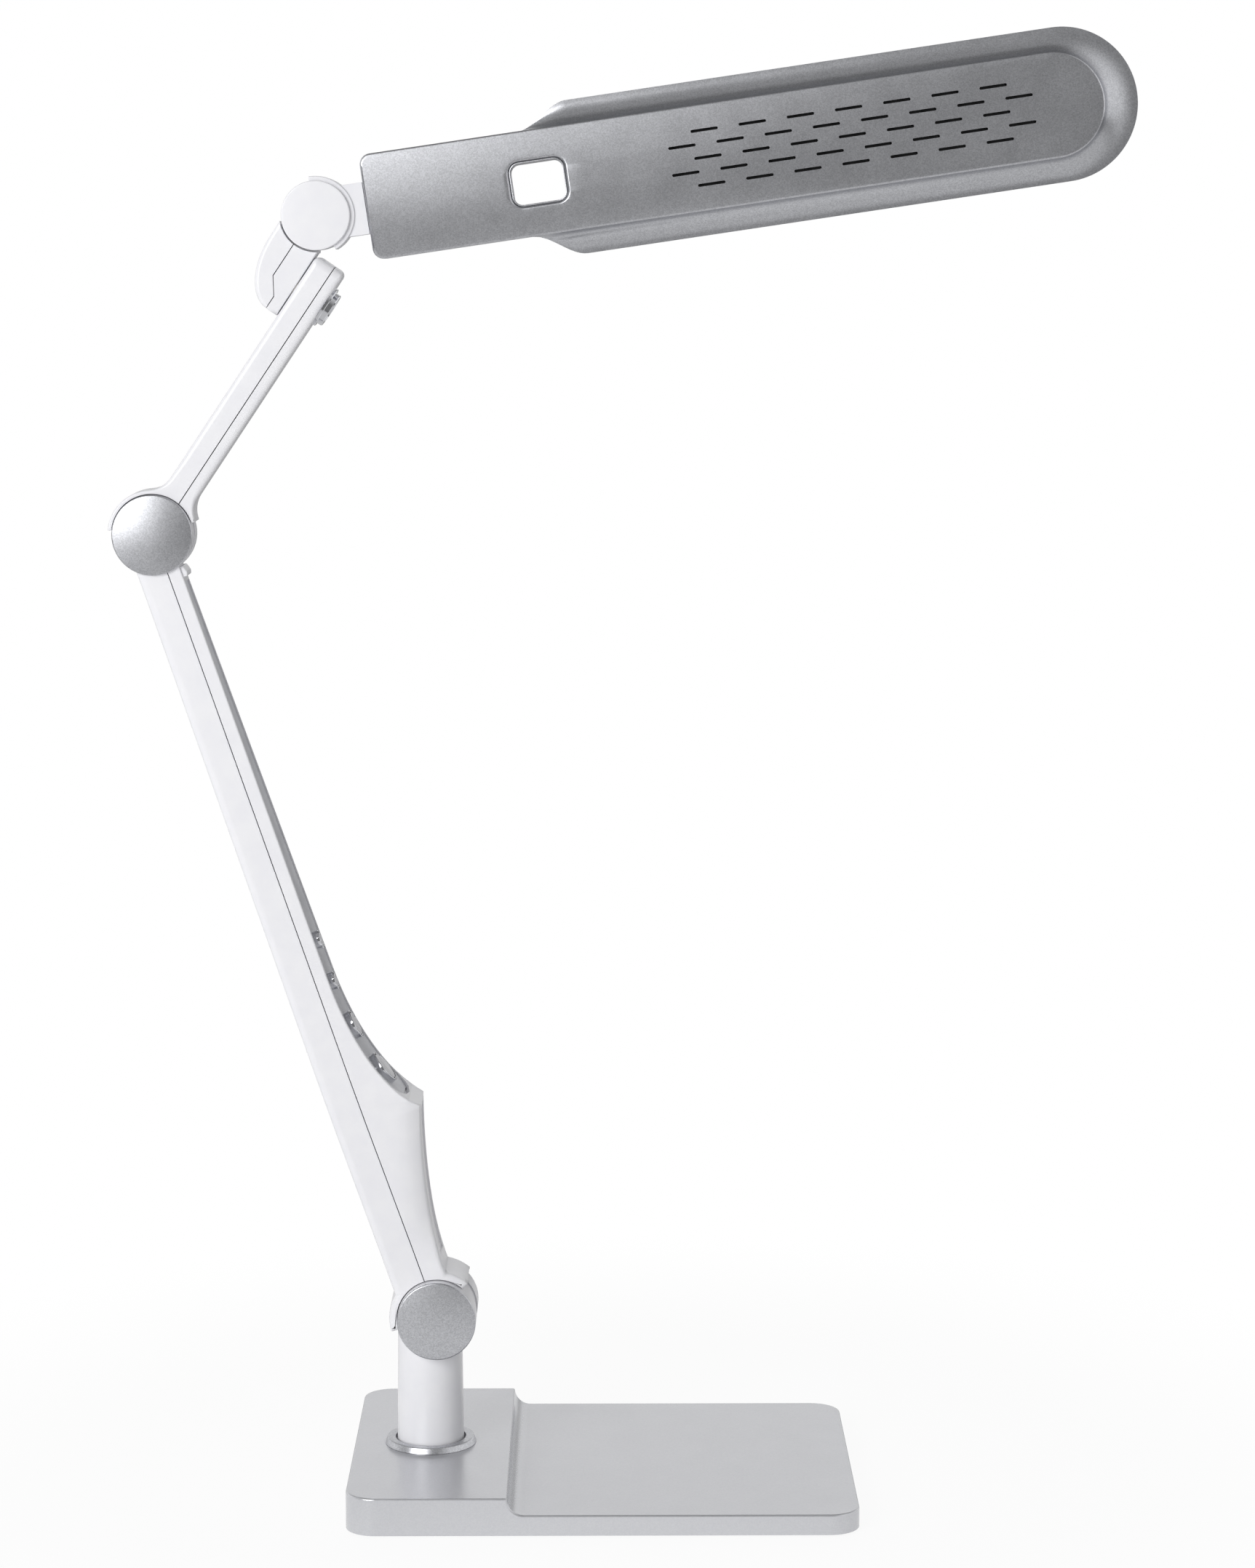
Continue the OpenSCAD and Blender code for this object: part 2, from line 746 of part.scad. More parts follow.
module lower_arm_bulk() {
    intersection() {
        side_extrude(panel_end_w + 2) arm_outline();
        arm_envelope();
    }
}

module arm_cavity() {
    inner = arm_inner_t - panel_t - panel_sink - cavity_skin;
    side_extrude(cavity_y) polygon([
        [-arm_outer_t + arm_wall, cavity_from], [-arm_outer_t + arm_wall + outer_taper, cavity_to],
        [inner, cavity_to], [inner, cavity_from]]);
}

module lower_arm_screw_spots() {
    for (s = [cavity_from + arm_screw_low, cavity_to - arm_screw_high], side = [-1, 1])
        translate([arm_split, side * (cavity_y / 2 + 2.4), s]) rotate([0, -90, 0]) children();
}

module lower_arm_outer() color(white) in_lower_arm() difference() {
    union() {
        intersection() {
            union() {
                lower_arm_bulk();
                hood(hood_in - 1, hood_out, hub_w, hood_from, hood_to, 2.5);
            }
            translate([arm_split - far, -far / 2, -far / 2]) cube([far, far, 2 * far]);
        }
        along_y(tongue_r, -lower_tongue_w / 2, lower_tongue_w / 2);
        intersection() {
            translate([-tongue_r, -lower_tongue_w / 2, 0])
                cube([tongue_r + arm_split, lower_tongue_w, hood_in + 2]);
            along_y(hood_in + 2, -lower_tongue_w, lower_tongue_w);
        }
        translate([0, 0, lower_len]) along_y(drum_r, -elbow_half_w, elbow_half_w);
    }
    for (side = [0, 1])
        mirror([0, side, 0]) along_y(hood_in, lower_tongue_w / 2, far / 2);
    along_y(lower_bolt_r + run_fit, -far / 2, far / 2);
    translate([0, 0, lower_len]) {
        along_y(hood_in, -elbow_cheek, elbow_cheek);
        joint_bore(elbow_bolt_r, elbow_half_w);
    }
    arm_cavity();
    lower_arm_screw_spots() cylinder(r = base_screw_r + run_fit, h = far / 20, center = true);
}

module lower_arm_inner() color(white) in_lower_arm() difference() {
    intersection() {
        union() {
            lower_arm_bulk();
            hood(hood_in - 1, hood_out, hub_w, hood_from, inner_hood_to, 2.5);
            translate([arm_inner_t - 2, -panel_side(panel_top) - 1.2, panel_top])
                cube([2 + tab_rise, 2 * panel_side(panel_top) + 2.4, tab_l]);
        }
        translate([arm_split, -far / 2, -far / 2]) cube([far, far, 2 * far]);
    }
    along_y(hood_in, -far / 2, far / 2);
    translate([0, 0, lower_len]) along_y(drum_r + 2 * seat_gap, -far / 2, far / 2);
    panel_recess();
    fin_groove();
    arm_cavity();
    button_places() cylinder(r = $button_r + bezel_wall + seat_gap, h = 2 * button_skirt, center = true);
    button_places() cylinder(r = stem_r + move_gap, h = stem_room, center = true);
    lower_arm_screw_spots() cylinder(r = base_screw_r + run_fit, h = 2 * arm_inner_t - 5, center = true);
}

function panel_side(s) = (s < taper_from ? panel_end_w : panel_end_w + (elbow_w - panel_end_w)
    * (s - taper_from) / (arm_top - drum_r - taper_from)) / 2 - panel_edge;

// A band that follows the inner face of the lower arm, between two depths below that face
module face_band(above, below, from, to) {
    steps = 14;
    stations = concat([for (i = [0:steps]) from + (flare_s - from) * i / steps], [to]);
    polygon(concat(
        [for (s = stations) [face_t(s) - above, s]],
        [for (i = [len(stations) - 1:-1:0]) [face_t(stations[i]) - below, stations[i]]]));
}

module panel_recess() {
    intersection() {
        side_extrude(panel_end_w) face_band(-fin_tip_r, panel_sink + panel_t, panel_from, panel_top);
        arm_taper(panel_edge);
    }
}

// Shallow groove along the edge of the fin
module fin_groove() {
    steps = 8;
    stations = [for (i = [0:steps]) fin_foot_s + 2 + (fin_s - 8 - fin_foot_s) * i / steps];
    side_extrude(hub_w - 2 * panel_edge - 2) polygon(concat(
        [for (s = stations) [fin_t(s) - groove_d, s]],
        [for (i = [steps:-1:0]) [fin_t(stations[i]) + fin_reach, stations[i]]]));
}

// Runs its children at each button, with Z along the button's travel out of the panel
module button_places(list = [0, 1, 2, 3]) {
    for (i = list) {
        $button_r = button_r[i];
        s = button_s[i];
        translate([face_t(s) - panel_sink, 0, s]) rotate([0, 90 - face_slope(s), 0]) children();
    }
}

module control_panel() color([0.62, 0.63, 0.65]) in_lower_arm() difference() {
    intersection() {
        side_extrude(panel_end_w) face_band(
            panel_sink, panel_sink + panel_t - seat_gap, panel_from + seat_gap, panel_top - seat_gap);
        arm_taper(panel_edge + seat_gap);
    }
    button_places() cylinder(r = $button_r + bezel_wall + seat_gap, h = 4 * panel_t, center = true);
}

module button_bezels() color(chrome) in_lower_arm() button_places() difference() {
    translate([0, 0, -button_skirt]) cylinder(r = $button_r + bezel_wall, h = button_skirt + bezel_proud);
    cylinder(r = $button_r + seat_gap, h = 4 * button_skirt, center = true);
}

// Height of the switch top below the panel face, measured along a button's travel
function switch_depth(i) = (face_t(button_s[i]) - panel_sink - board_x - switch_h)
    / cos(face_slope(button_s[i]));

module one_button(i) {
    in_lower_arm() button_places([i]) {
        translate([0, 0, -panel_t]) cylinder(r = $button_r, h = panel_t + button_proud - 0.5);
        translate([0, 0, button_proud - 0.5]) cylinder(r1 = $button_r, r2 = $button_r - 0.5, h = 0.5);
        stem_l = switch_depth(i) - button_travel - seat_gap - stem_r * tan(face_slope(button_s[i]));
        translate([0, 0, -stem_l]) cylinder(r = stem_r, h = stem_l);
    }
}

module button_power() color(white) one_button(0);

module button_tone() color(white) one_button(1);

module button_brighter() color(white) one_button(2);

module button_dimmer() color(white) one_button(3);

module control_board() color([0.10, 0.35, 0.20]) in_lower_arm()
    translate([board_x - board_t, -cavity_y / 2 + seat_gap, cavity_from + 1])
        cube([board_t, cavity_y - 2 * seat_gap, button_s[3] + board_end - cavity_from]);

module button_switches() color(black) in_lower_arm()
    for (i = [0:3])
        translate([board_x, -switch_w / 2, button_s[i] - tan(face_slope(button_s[i]))
            * (face_t(button_s[i]) - board_x - switch_h) - switch_w / 2])
            cube([switch_h - 0.3, switch_w, switch_w]);

module lower_arm_screws() color(steel) in_lower_arm() lower_arm_screw_spots()
    translate([0, 0, -arm_screw_head]) cylinder(r = base_screw_r, h = arm_screw_l);

module at_elbow() {
    translate([elbow_x, 0, elbow_z]) children();
}

module elbow_cap(side) {
    at_elbow() joint_cap(drum_r, elbow_half_w, pocket_r(elbow_bolt_r), side);
}

module elbow_cap_front() color(silver) elbow_cap(-1);

module elbow_cap_rear() color(silver) elbow_cap(1);

module elbow_bolt() color(steel) at_elbow() joint_bolt(elbow_bolt_r, elbow_half_w);

module elbow_nut() color(steel) at_elbow() joint_nut(elbow_bolt_r, elbow_half_w);

module elbow_washers() color(polymer)
    at_elbow() joint_washers(elbow_bolt_r, drum_r - washer_inset, slim_tongue_w);

// Upper arm, with X towards its lower right face and Z along it
module upper_bar() {
    steps = 3;
    hull() {
        linear_extrude(thin) rounded_rect(upper_t, elbow_w, upper_edge_r, $fn = facet_fn);
        for (i = [0:steps]) let (a = 90 * i / steps)
            translate([0, 0, upper_top - upper_crown * (1 - sin(a)) - thin]) linear_extrude(thin)
                rounded_rect(upper_t - 2 * upper_end_r * (1 - cos(a)),
                    elbow_w - 2 * upper_crown * (1 - cos(a)), upper_edge_r, $fn = facet_fn);
    }
}

module upper_webs() {
    side_extrude(elbow_w - 1.2) difference() {
        polygon([[-fillet_n, fillet_u], [0, 0], [fillet_n, fillet_u]]);
        for (side = [-1, 1])
            translate([side * fillet_n, fillet_u]) circle(upper_fillet_r);
        circle(hood_in);
    }
}

module upper_bulk() {
    difference() {
        union() {
            upper_bar();
            upper_webs();
            hood(hood_in - 0.5, slim_hood_out, elbow_w, slim_hood_from, slim_hood_to, 1);
        }
        along_y(hood_in, -far / 2, far / 2);
    }
}

module swivel_bore(r) {
    translate([0, 0, upper_len]) rotate([0, 90, 0]) cylinder(r = r, h = 4 * upper_t, center = true);
}

module upper_arm_outer() color(white) in_upper_arm() difference() {
    union() {
        intersection() {
            upper_bulk();
            translate([upper_split - far, -far / 2, -far / 2]) cube([far, far, 2 * far]);
        }
        along_y(tongue_r, -slim_tongue_w / 2, slim_tongue_w / 2);
        translate([-upper_half + 1, -slim_tongue_w / 2, 0])
            cube([upper_half - 1 + upper_split, slim_tongue_w, hood_in + 3]);
    }
    along_y(elbow_bolt_r + run_fit, -far / 2, far / 2);
    swivel_bore(neck_bolt_r + seat_gap);
    upper_screw_spots() cylinder(r = base_screw_r + run_fit, h = upper_screw_l + overcut, center = true);
}

module upper_arm_inner() color(white) in_upper_arm() difference() {
    intersection() {
        upper_bulk();
        translate([upper_split, -far / 2, -far / 2]) cube([far, far, 2 * far]);
    }
    swivel_bore(neck_bolt_r + seat_gap);
    upper_screw_spots() cylinder(r = base_screw_r + run_fit, h = upper_screw_l + overcut, center = true);
}

module upper_screw_spots() {
    for (u = [upper_len * 0.3, upper_len * 0.72])
        translate([upper_split, 0, u]) rotate([0, 90, 0]) children();
}

module upper_arm_screws() color(steel) in_upper_arm() upper_screw_spots()
    cylinder(r = base_screw_r, h = upper_screw_l, center = true);

// Neck swivel, on an axis across the upper arm
module at_neck_swivel() {
    in_upper_arm() translate([0, 0, upper_len]) rotate([0, -90, 0]) children();
}

module neck_bolt() color(steel) at_neck_swivel() {
    translate([0, 0, -upper_half - bolt_head_h(neck_bolt_r)])
        cylinder(r = bolt_head_r(neck_bolt_r), h = bolt_head_h(neck_bolt_r));
    translate([0, 0, -upper_half]) cylinder(r = neck_bolt_r, h = neck_bolt_top + upper_half);
}

module neck_nut() color(steel) at_neck_swivel() difference() {
    translate([0, 0, neck_bolt_top - bolt_head_h(neck_bolt_r)])
        cylinder(r = bolt_head_r(neck_bolt_r), h = bolt_head_h(neck_bolt_r), $fn = 6);
    cylinder(r = neck_bolt_r + run_fit, h = neck_bolt_top + overcut);
}

module neck_washers() color(polymer) at_neck_swivel() difference() {
    union() {
        translate([0, 0, upper_half + face_gap]) cylinder(r = neck_w / 2 - 1, h = neck_gap - 2 * face_gap);
        translate([0, 0, neck_bolt_top - bolt_head_h(neck_bolt_r) - washer_t])
            cylinder(r = neck_nut_room - 1, h = washer_t);
    }
    cylinder(r = neck_bolt_r + run_fit, h = neck_bolt_top + overcut);
}

module neck_swivel_cap() color(chrome) at_neck_swivel() mirror([0, 0, 1]) difference() {
    translate([0, 0, upper_half]) rotate_extrude() polygon([
        [0, 0], [swivel_cap_r, 0], [swivel_cap_r, swivel_flange_t],
        [swivel_cap_r - swivel_neck, swivel_flange_t + swivel_neck / 3],
        [swivel_cap_r - 1.5 * swivel_neck, swivel_cap_h], [0, swivel_cap_h]]);
    cylinder(r = bolt_head_r(neck_bolt_r) + seat_gap, h = upper_half + bolt_head_h(neck_bolt_r) + seat_gap);
}

// Neck, drawn in the upper arm's frame
module neck_outline() {
    polygon(concat(
        [[neck_in, neck_back], [neck_in - neck_t * 0.25, neck_back]],
        [for (i = [1:8]) let (a = 90 * i / 8)
            [neck_in - neck_t * 0.25 - neck_t * 0.75 * sin(a), neck_back + 26 * (1 - cos(a))]],
        [[neck_out, head_u], [neck_in, head_u]]));
}

module neck_bulk() {
    difference() {
        hull() {
            side_extrude(neck_w - 2 * neck_edge_r) neck_outline();
            side_extrude(neck_w) offset(delta = -neck_edge_r * 0.9) neck_outline();
        }
        translate([-neck_rise, 0, head_u])
            for (side = [0, 1])
                mirror([0, side, 0]) along_y(head_cut_r, slim_tongue_w / 2, far / 2);
        translate([-far / 2, -far / 2, head_u]) cube(far);
    }
}

// The neck's side of its parting line, which drops towards the swivel
module neck_split_side(cover) {
    side = (cover ? -1 : 1) * far / 2;
    low = neck_split + 5;
    side_extrude(far / 4) polygon([
        [neck_split, far], [neck_split, neck_back + 13], [low, neck_back + 6],
        [low, neck_back - far / 2], [side, neck_back - far / 2], [side, far]]);
}

// Room for the nut of the neck swivel
module neck_nut_pocket(depth) {
    translate([neck_in - neck_floor, 0, upper_len]) rotate([0, -90, 0])
        cylinder(r = neck_nut_room, h = depth);
}

module neck_body() color(white) in_upper_arm() difference() {
    union() {
        intersection() {
            neck_bulk();
            neck_split_side(false);
        }
        translate([-neck_rise, 0, head_u]) along_y(head_tongue_r, -slim_tongue_w / 2, slim_tongue_w / 2);
    }
    translate([-neck_rise, 0, head_u]) along_y(head_bolt_r + run_fit, -far / 2, far / 2);
    swivel_bore(neck_bolt_r + run_fit);
    neck_nut_pocket(neck_t);
    neck_screw_spots() cylinder(r = base_screw_r + run_fit, h = neck_screw_l + overcut, center = true);
}

module neck_cover() color(white) in_upper_arm() difference() {
    intersection() {
        neck_bulk();
        neck_split_side(true);
    }
    translate([-neck_rise, 0, head_u]) along_y(head_tongue_r + seat_gap, -far / 2, far / 2);
    neck_nut_pocket(neck_t * 0.55);
    neck_screw_spots() cylinder(r = base_screw_r + run_fit, h = neck_screw_l + overcut, center = true);
}

module neck_screw_spots() {
    translate([neck_split, 0, neck_screw_u]) rotate([0, 90, 0]) children();
}

module neck_screws() color(steel) in_upper_arm() neck_screw_spots()
    cylinder(r = base_screw_r, h = neck_screw_l, center = true);

// Head joint and the stub that carries the head
module head_yoke() color(white) in_head() difference() {
    union() {
        along_y(head_drum_r, -head_half_w, head_half_w);
        hood(head_drum_r - 1, flange_r, 2 * head_half_w, flange_from, flange_to, 0.6);
        translate([stub_x, -stub_w / 2, -stub_h / 2]) cube([head_gap - move_gap - stub_x, stub_w, stub_h]);
        rotate([0, 90, 0]) cylinder(r = twist_r, h = head_gap + twist_l);
    }
    along_y(head_drum_r + 0.2, -head_cheek, head_cheek);
    joint_bore(head_bolt_r, head_half_w);
    translate([clip_x, 0, 0]) rotate([0, 90, 0]) difference() {
        cylinder(r = 2 * twist_r, h = clip_t + 2 * face_gap);
        cylinder(r = clip_groove_r, h = clip_t + 2 * face_gap);
    }
}

module head_cap(side) {
    in_head() joint_cap(head_drum_r, head_half_w, pocket_r(head_bolt_r), side);
}

module head_cap_front() color(white) head_cap(-1);

module head_cap_rear() color(white) head_cap(1);

module head_bolt() color(steel) in_head() joint_bolt(head_bolt_r, head_half_w);

module head_nut() color(steel) in_head() joint_nut(head_bolt_r, head_half_w);

module head_washers() color(polymer)
    in_head() joint_washers(head_bolt_r, head_drum_r - washer_inset, slim_tongue_w);

module twist_clip() color(steel) in_head()
    translate([clip_x + face_gap, 0, 0]) rotate([0, 90, 0]) difference() {
        cylinder(r = bush_out - 2 * seat_gap, h = clip_t);
        translate([0, 0, -overcut]) cylinder(r = clip_groove_r + run_fit, h = clip_t + 2 * overcut);
    }

// Outline of the head at one level of its cove, from 0 at the flat face to 1 at the rim
function smooth(t) = let (c = min(1, max(0, t))) c * c * (3 - 2 * c);
function head_half(x, k) = face_w / 2 + k * cove_w * smooth((x - head_gap - flare_start) / flare_run);

function head_side(k, inset) = concat(
    [for (i = [0:arc_n]) let (a = 90 * i / arc_n, r = head_corner_r - inset * 0.6)
        [head_gap + inset + r * (1 - sin(90 - a)), face_w / 2 - inset - r * (1 - sin(a))]],
    [for (i = [0:flare_n]) let (x = head_gap + flare_start + flare_run * i / flare_n)
        [x, head_half(x, k) - inset]],
    [for (i = [0:tip_n]) let (a = 90 - 90 * i / tip_n, r = face_w / 2 + k * cove_w - inset)
        [tip_c + k * tip_shift + r * cos(a), r * sin(a)]]);

function head_outline(k, inset) = let (upper = head_side(k, inset), n = len(upper))
    concat(upper, [for (i = [n - 2:-1:0]) [upper[i][0], -upper[i][1]]]);

// A lofted solid through the head's outline at each level of the cove, cut flat at both ends
module head_loft(inset, lift, run) {
    front = face_y + lift;
    rows = concat(
        [[0, front - overcut]],
        [for (i = [0:cove_n]) let (a = 90 * i / cove_n)
            [1 - cos(a), front + (cove_d - lift * cove_ease) * sin(a)]],
        [[1, run + overcut]]);
    rings = [for (row = rows) [for (p = head_outline(row[0], inset)) [p[0], row[1], p[1]]]];
    n = len(rings[0]);
    levels = len(rings);
    intersection() {
        polyhedron(
            points = [for (ring = rings) each ring],
            faces = concat(
                [[for (i = [0:n - 1]) i]],
                [[for (i = [n - 1:-1:0]) (levels - 1) * n + i]],
                [for (j = [0:levels - 2], i = [0:n - 1]) let (next = (i + 1) % n)
                    [j * n + next, j * n + i, (j + 1) * n + i]],
                [for (j = [0:levels - 2], i = [0:n - 1]) let (next = (i + 1) % n)
                    [(j + 1) * n + next, j * n + next, (j + 1) * n + i]]));
        translate([0, front, -far / 2]) cube([far, run - front, far]);
    }
}

module vent_slots() {
    for (row = [-2:2]) {
        long = abs(row) % 2 == 1;
        shift = long ? 0 : slot_pitch / 2;
        for (i = [0:slot_count - (long ? 1 : 2)])
            translate([head_gap + slot_x + shift + i * slot_pitch, 0, row * slot_row])
                depth_extrude(face_y - overcut, face_y + head_wall + overcut) {
                    translate([slot_w / 2, -slot_w / 2]) square([slot_l - slot_w, slot_w]);
                    for (x = [slot_w / 2, slot_l - slot_w / 2])
                        translate([x, 0]) circle(slot_w / 2, $fn = 16);
                }
    }
}

module at_window() {
    translate([head_gap + window_x, 0, 0]) children();
}

module window_hole(grow) {
    at_window() side_extrude(far / 4) window_outline(grow);
}

module window_outline(grow) {
    rounded_rect(window_l + 2 * grow, window_h + 2 * grow, window_corner_r + grow);
}

module head_shell() color(silver) in_head() difference() {
    union() {
        difference() {
            head_loft(0, 0, shell_back);
            head_loft(head_wall, head_wall, overcut);
        }
        for (spot = frame_screw_spots)
            translate([spot[0], 0, spot[1]]) along_y(frame_boss_r, face_y + head_wall / 2, boss_end);
        for (x = board_spots)
            translate([x, 0, 0]) along_y(frame_boss_r, face_y + head_wall / 2, board_y);
    }
    vent_slots();
    window_hole(liner_wall + seat_gap);
    for (spot = frame_screw_spots)
        translate([spot[0], 0, spot[1]]) along_y(frame_screw_r + run_fit, face_y + head_wall + 0.6, far / 4);
    for (x = board_spots)
        translate([x, 0, 0]) along_y(frame_screw_r + run_fit, face_y + head_wall, far / 4);
    twist_room();
}

// Room for the twist spigot and its bush
module twist_room() {
    rotate([0, 90, 0]) cylinder(r = bush_out + seat_gap, h = head_gap + twist_l + 4);
}

// Outline of the light's opening, wider by grow on each side
module light_outline(grow) {
    translate([light_mid, 0]) rounded_rect(light_l + 2 * grow, light_w + 2 * grow, light_corner_r + grow);
}

// Half-round seat for the bush of the twist spigot
module bush_cradle() {
    half = bush_out + head_wall;
    translate([head_gap + head_wall / 2, frame_front, -half])
        cube([clip_x - head_gap - head_wall, frame_back - frame_front - head_wall / 2, 2 * half]);
}

module head_frame() color(white) in_head() difference() {
    union() {
        difference() {
            depth_extrude(frame_front, frame_back) polygon(head_outline(1, 0));
            depth_extrude(frame_front - overcut, frame_inside) polygon(head_outline(1, head_wall));
        }
        bush_cradle();
        for (spot = frame_screw_spots)
            translate([spot[0], 0, spot[1]])
                along_y(frame_screw_head_r + head_wall / 2, boss_end, frame_inside + head_wall / 2);
    }
    window_hole(liner_wall + seat_gap);
    depth_extrude(0, frame_back + overcut) light_outline(0);
    depth_extrude(frame_inside - overcut, frame_inside + pane_rim) light_outline(pane_lip);
    for (spot = frame_screw_spots)
        translate([spot[0], 0, spot[1]]) {
            along_y(frame_screw_r + seat_gap, frame_front, far / 4);
            along_y(frame_screw_head_r + seat_gap, frame_back - frame_screw_r - seat_gap, far / 4);
        }
    twist_room();
}

module window_liner() color(silver) in_head() difference() {
    union() {
        at_window() depth_extrude(face_y + liner_sink, frame_back) window_outline(liner_wall);
        at_window() depth_extrude(liner_seat, liner_seat + liner_rib)
            window_outline(liner_wall + liner_flange);
    }
    window_hole(0);
}

module twist_bush() color(polymer) in_head() difference() {
    translate([head_gap, 0, 0]) rotate([0, 90, 0]) cylinder(r = bush_out, h = clip_x - head_gap - face_gap);
    rotate([0, 90, 0]) cylinder(r = twist_r + run_fit, h = 2 * (head_gap + twist_l));
}

module led_board() color(white) in_head() difference() {
    translate([light_x, board_y, -led_board_w / 2]) cube([light_l, board_t, led_board_w]);
    for (x = board_spots)
        translate([x, 0, 0]) along_y(frame_screw_r + seat_gap, board_y - overcut, board_y + 2 * board_t);
}

module leds() color([0.95, 0.85, 0.45]) in_head()
    for (i = [0:led_n - 1], side = [-1, 1])
        translate([light_mid + (i - (led_n - 1) / 2) * led_pitch, board_y + board_t, side * led_board_w / 4])
            translate([-led_w / 2, 0, -led_w / 2]) cube([led_w, led_h, led_w]);

module diffuser() color([0.97, 0.97, 0.95]) in_head() {
    seat = frame_inside + pane_rim;
    depth_extrude(seat - pane_t, seat) light_outline(pane_lip - seat_gap);
    depth_extrude(frame_inside, frame_back - 2 * seat_gap) light_outline(-seat_gap);
}

module head_screws() color(steel) in_head() {
    for (spot = frame_screw_spots)
        translate([spot[0], frame_back - seat_gap, spot[1]]) rotate([90, 0, 0])
            flat_screw(frame_screw_r, frame_screw_l);
    for (x = board_spots)
        translate([x, board_y + board_t + led_h, 0]) rotate([90, 0, 0]) {
            cylinder(r = frame_screw_head_r, h = led_h);
            cylinder(r = frame_screw_r, h = led_h + board_t + board_gap / 2);
        }
}

desk_pad();
base_plate();
base_weight();
base_cover();
base_screws();
swivel_collar();
swivel_bush();
dc_inlet();
post();
swivel_washer();
swivel_nut();
lower_cap_front();
lower_cap_rear();
lower_bolt();
lower_nut();
lower_washers();
lower_arm_outer();
lower_arm_inner();
control_panel();
button_bezels();
control_board();
button_switches();
lower_arm_screws();
elbow_cap_front();
elbow_cap_rear();
elbow_bolt();
elbow_nut();
elbow_washers();
button_power();
button_tone();
button_brighter();
button_dimmer();
upper_arm_outer();
upper_arm_inner();
upper_arm_screws();
neck_bolt();
neck_nut();
neck_washers();
neck_swivel_cap();
neck_body();
neck_cover();
neck_screws();
head_yoke();
head_cap_front();
head_cap_rear();
head_bolt();
head_nut();
head_washers();
twist_clip();
head_shell();
head_frame();
window_liner();
twist_bush();
led_board();
leds();
diffuser();
head_screws();
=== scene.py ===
"""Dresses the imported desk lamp: its moulded, painted and plated pieces, the studio and the camera."""

import json
import logging
from dataclasses import dataclass, field
from enum import Enum
from math import acos, asin, atan, atan2, cos, degrees, hypot, pi, radians, sin, tan
from typing import Callable, Iterable, Optional, Sequence

import bmesh
import bpy
from bmesh.types import BMEdge, BMesh, BMFace, BMVert
from mathutils import Matrix, Vector

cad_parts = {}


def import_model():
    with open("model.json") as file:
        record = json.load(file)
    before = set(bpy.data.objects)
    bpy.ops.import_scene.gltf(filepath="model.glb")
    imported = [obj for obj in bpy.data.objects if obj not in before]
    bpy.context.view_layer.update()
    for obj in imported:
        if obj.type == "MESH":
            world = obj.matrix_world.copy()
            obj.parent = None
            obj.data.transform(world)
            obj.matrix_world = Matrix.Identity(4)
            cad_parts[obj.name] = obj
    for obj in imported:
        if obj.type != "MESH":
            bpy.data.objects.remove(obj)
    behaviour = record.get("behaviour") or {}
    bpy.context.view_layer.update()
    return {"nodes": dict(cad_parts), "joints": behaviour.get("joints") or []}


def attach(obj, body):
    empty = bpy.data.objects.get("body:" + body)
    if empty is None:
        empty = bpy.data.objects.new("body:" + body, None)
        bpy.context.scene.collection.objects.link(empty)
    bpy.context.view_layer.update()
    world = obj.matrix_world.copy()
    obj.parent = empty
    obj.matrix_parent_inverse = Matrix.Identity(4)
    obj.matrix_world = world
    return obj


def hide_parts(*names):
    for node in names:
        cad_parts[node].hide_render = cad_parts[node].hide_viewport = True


LOG = logging.getLogger("desk_lamp")
MM = 0.001
ROUNDING = "bevel_weight_edge"
WIDEST = 5.0
ALONG, ACROSS = (0, 0, 1), (0, 1, 0)
Point = tuple[float, float]
Triple = tuple[float, float, float]
Outline = list[Point]
Tree = bpy.types.NodeTree
Socket = bpy.types.NodeSocket


def linear(code: str) -> tuple[float, float, float, float]:
    """Turns an sRGB hex colour into linear RGBA."""
    parts = [int(code[i:i + 2], 16) / 255 for i in (1, 3, 5)]
    return (*(c / 12.92 if c <= 0.04045 else ((c + 0.055) / 1.055) ** 2.4 for c in parts), 1.0)


def per_mm(size: float) -> float:
    """Gives the texture scale at which a feature measures size millimetres."""
    return 1 / (size * MM)


def held(number: float) -> float:
    """Holds a number between 0 and 1."""
    return min(1, max(0, number))


def soft_step(number: float) -> float:
    """Rises softly from 0 to 1 while the number does."""
    t = held(number)
    return t * t * (3 - 2 * t)


def add_node(tree: Tree, kind: str, settings: Optional[dict] = None,
             links: Optional[dict] = None) -> bpy.types.Node:
    """Adds one node with its settings and links.

    Args:
        tree: Node tree that takes the node.
        kind: Type of the node, without Blender's prefix.
        settings: Values by attribute name, or by name or number of an input.
        links: Output sockets by name or number of the input they feed.

    Returns:
        The new node.
    """
    node = tree.nodes.new("ShaderNode" + kind)
    for key, value in (settings or {}).items():
        if isinstance(key, str) and hasattr(node, key):
            setattr(node, key, value)
        else:
            node.inputs[key].default_value = value
    for key, socket in (links or {}).items():
        tree.links.new(socket, node.inputs[key])
    return node


class Work(Enum):
    """How a piece got its surface. Its name starts with that."""

    MOULDED = "moulded"
    PAINTED = "painted"
    PLATED = "plated"
    TURNED = "turned"


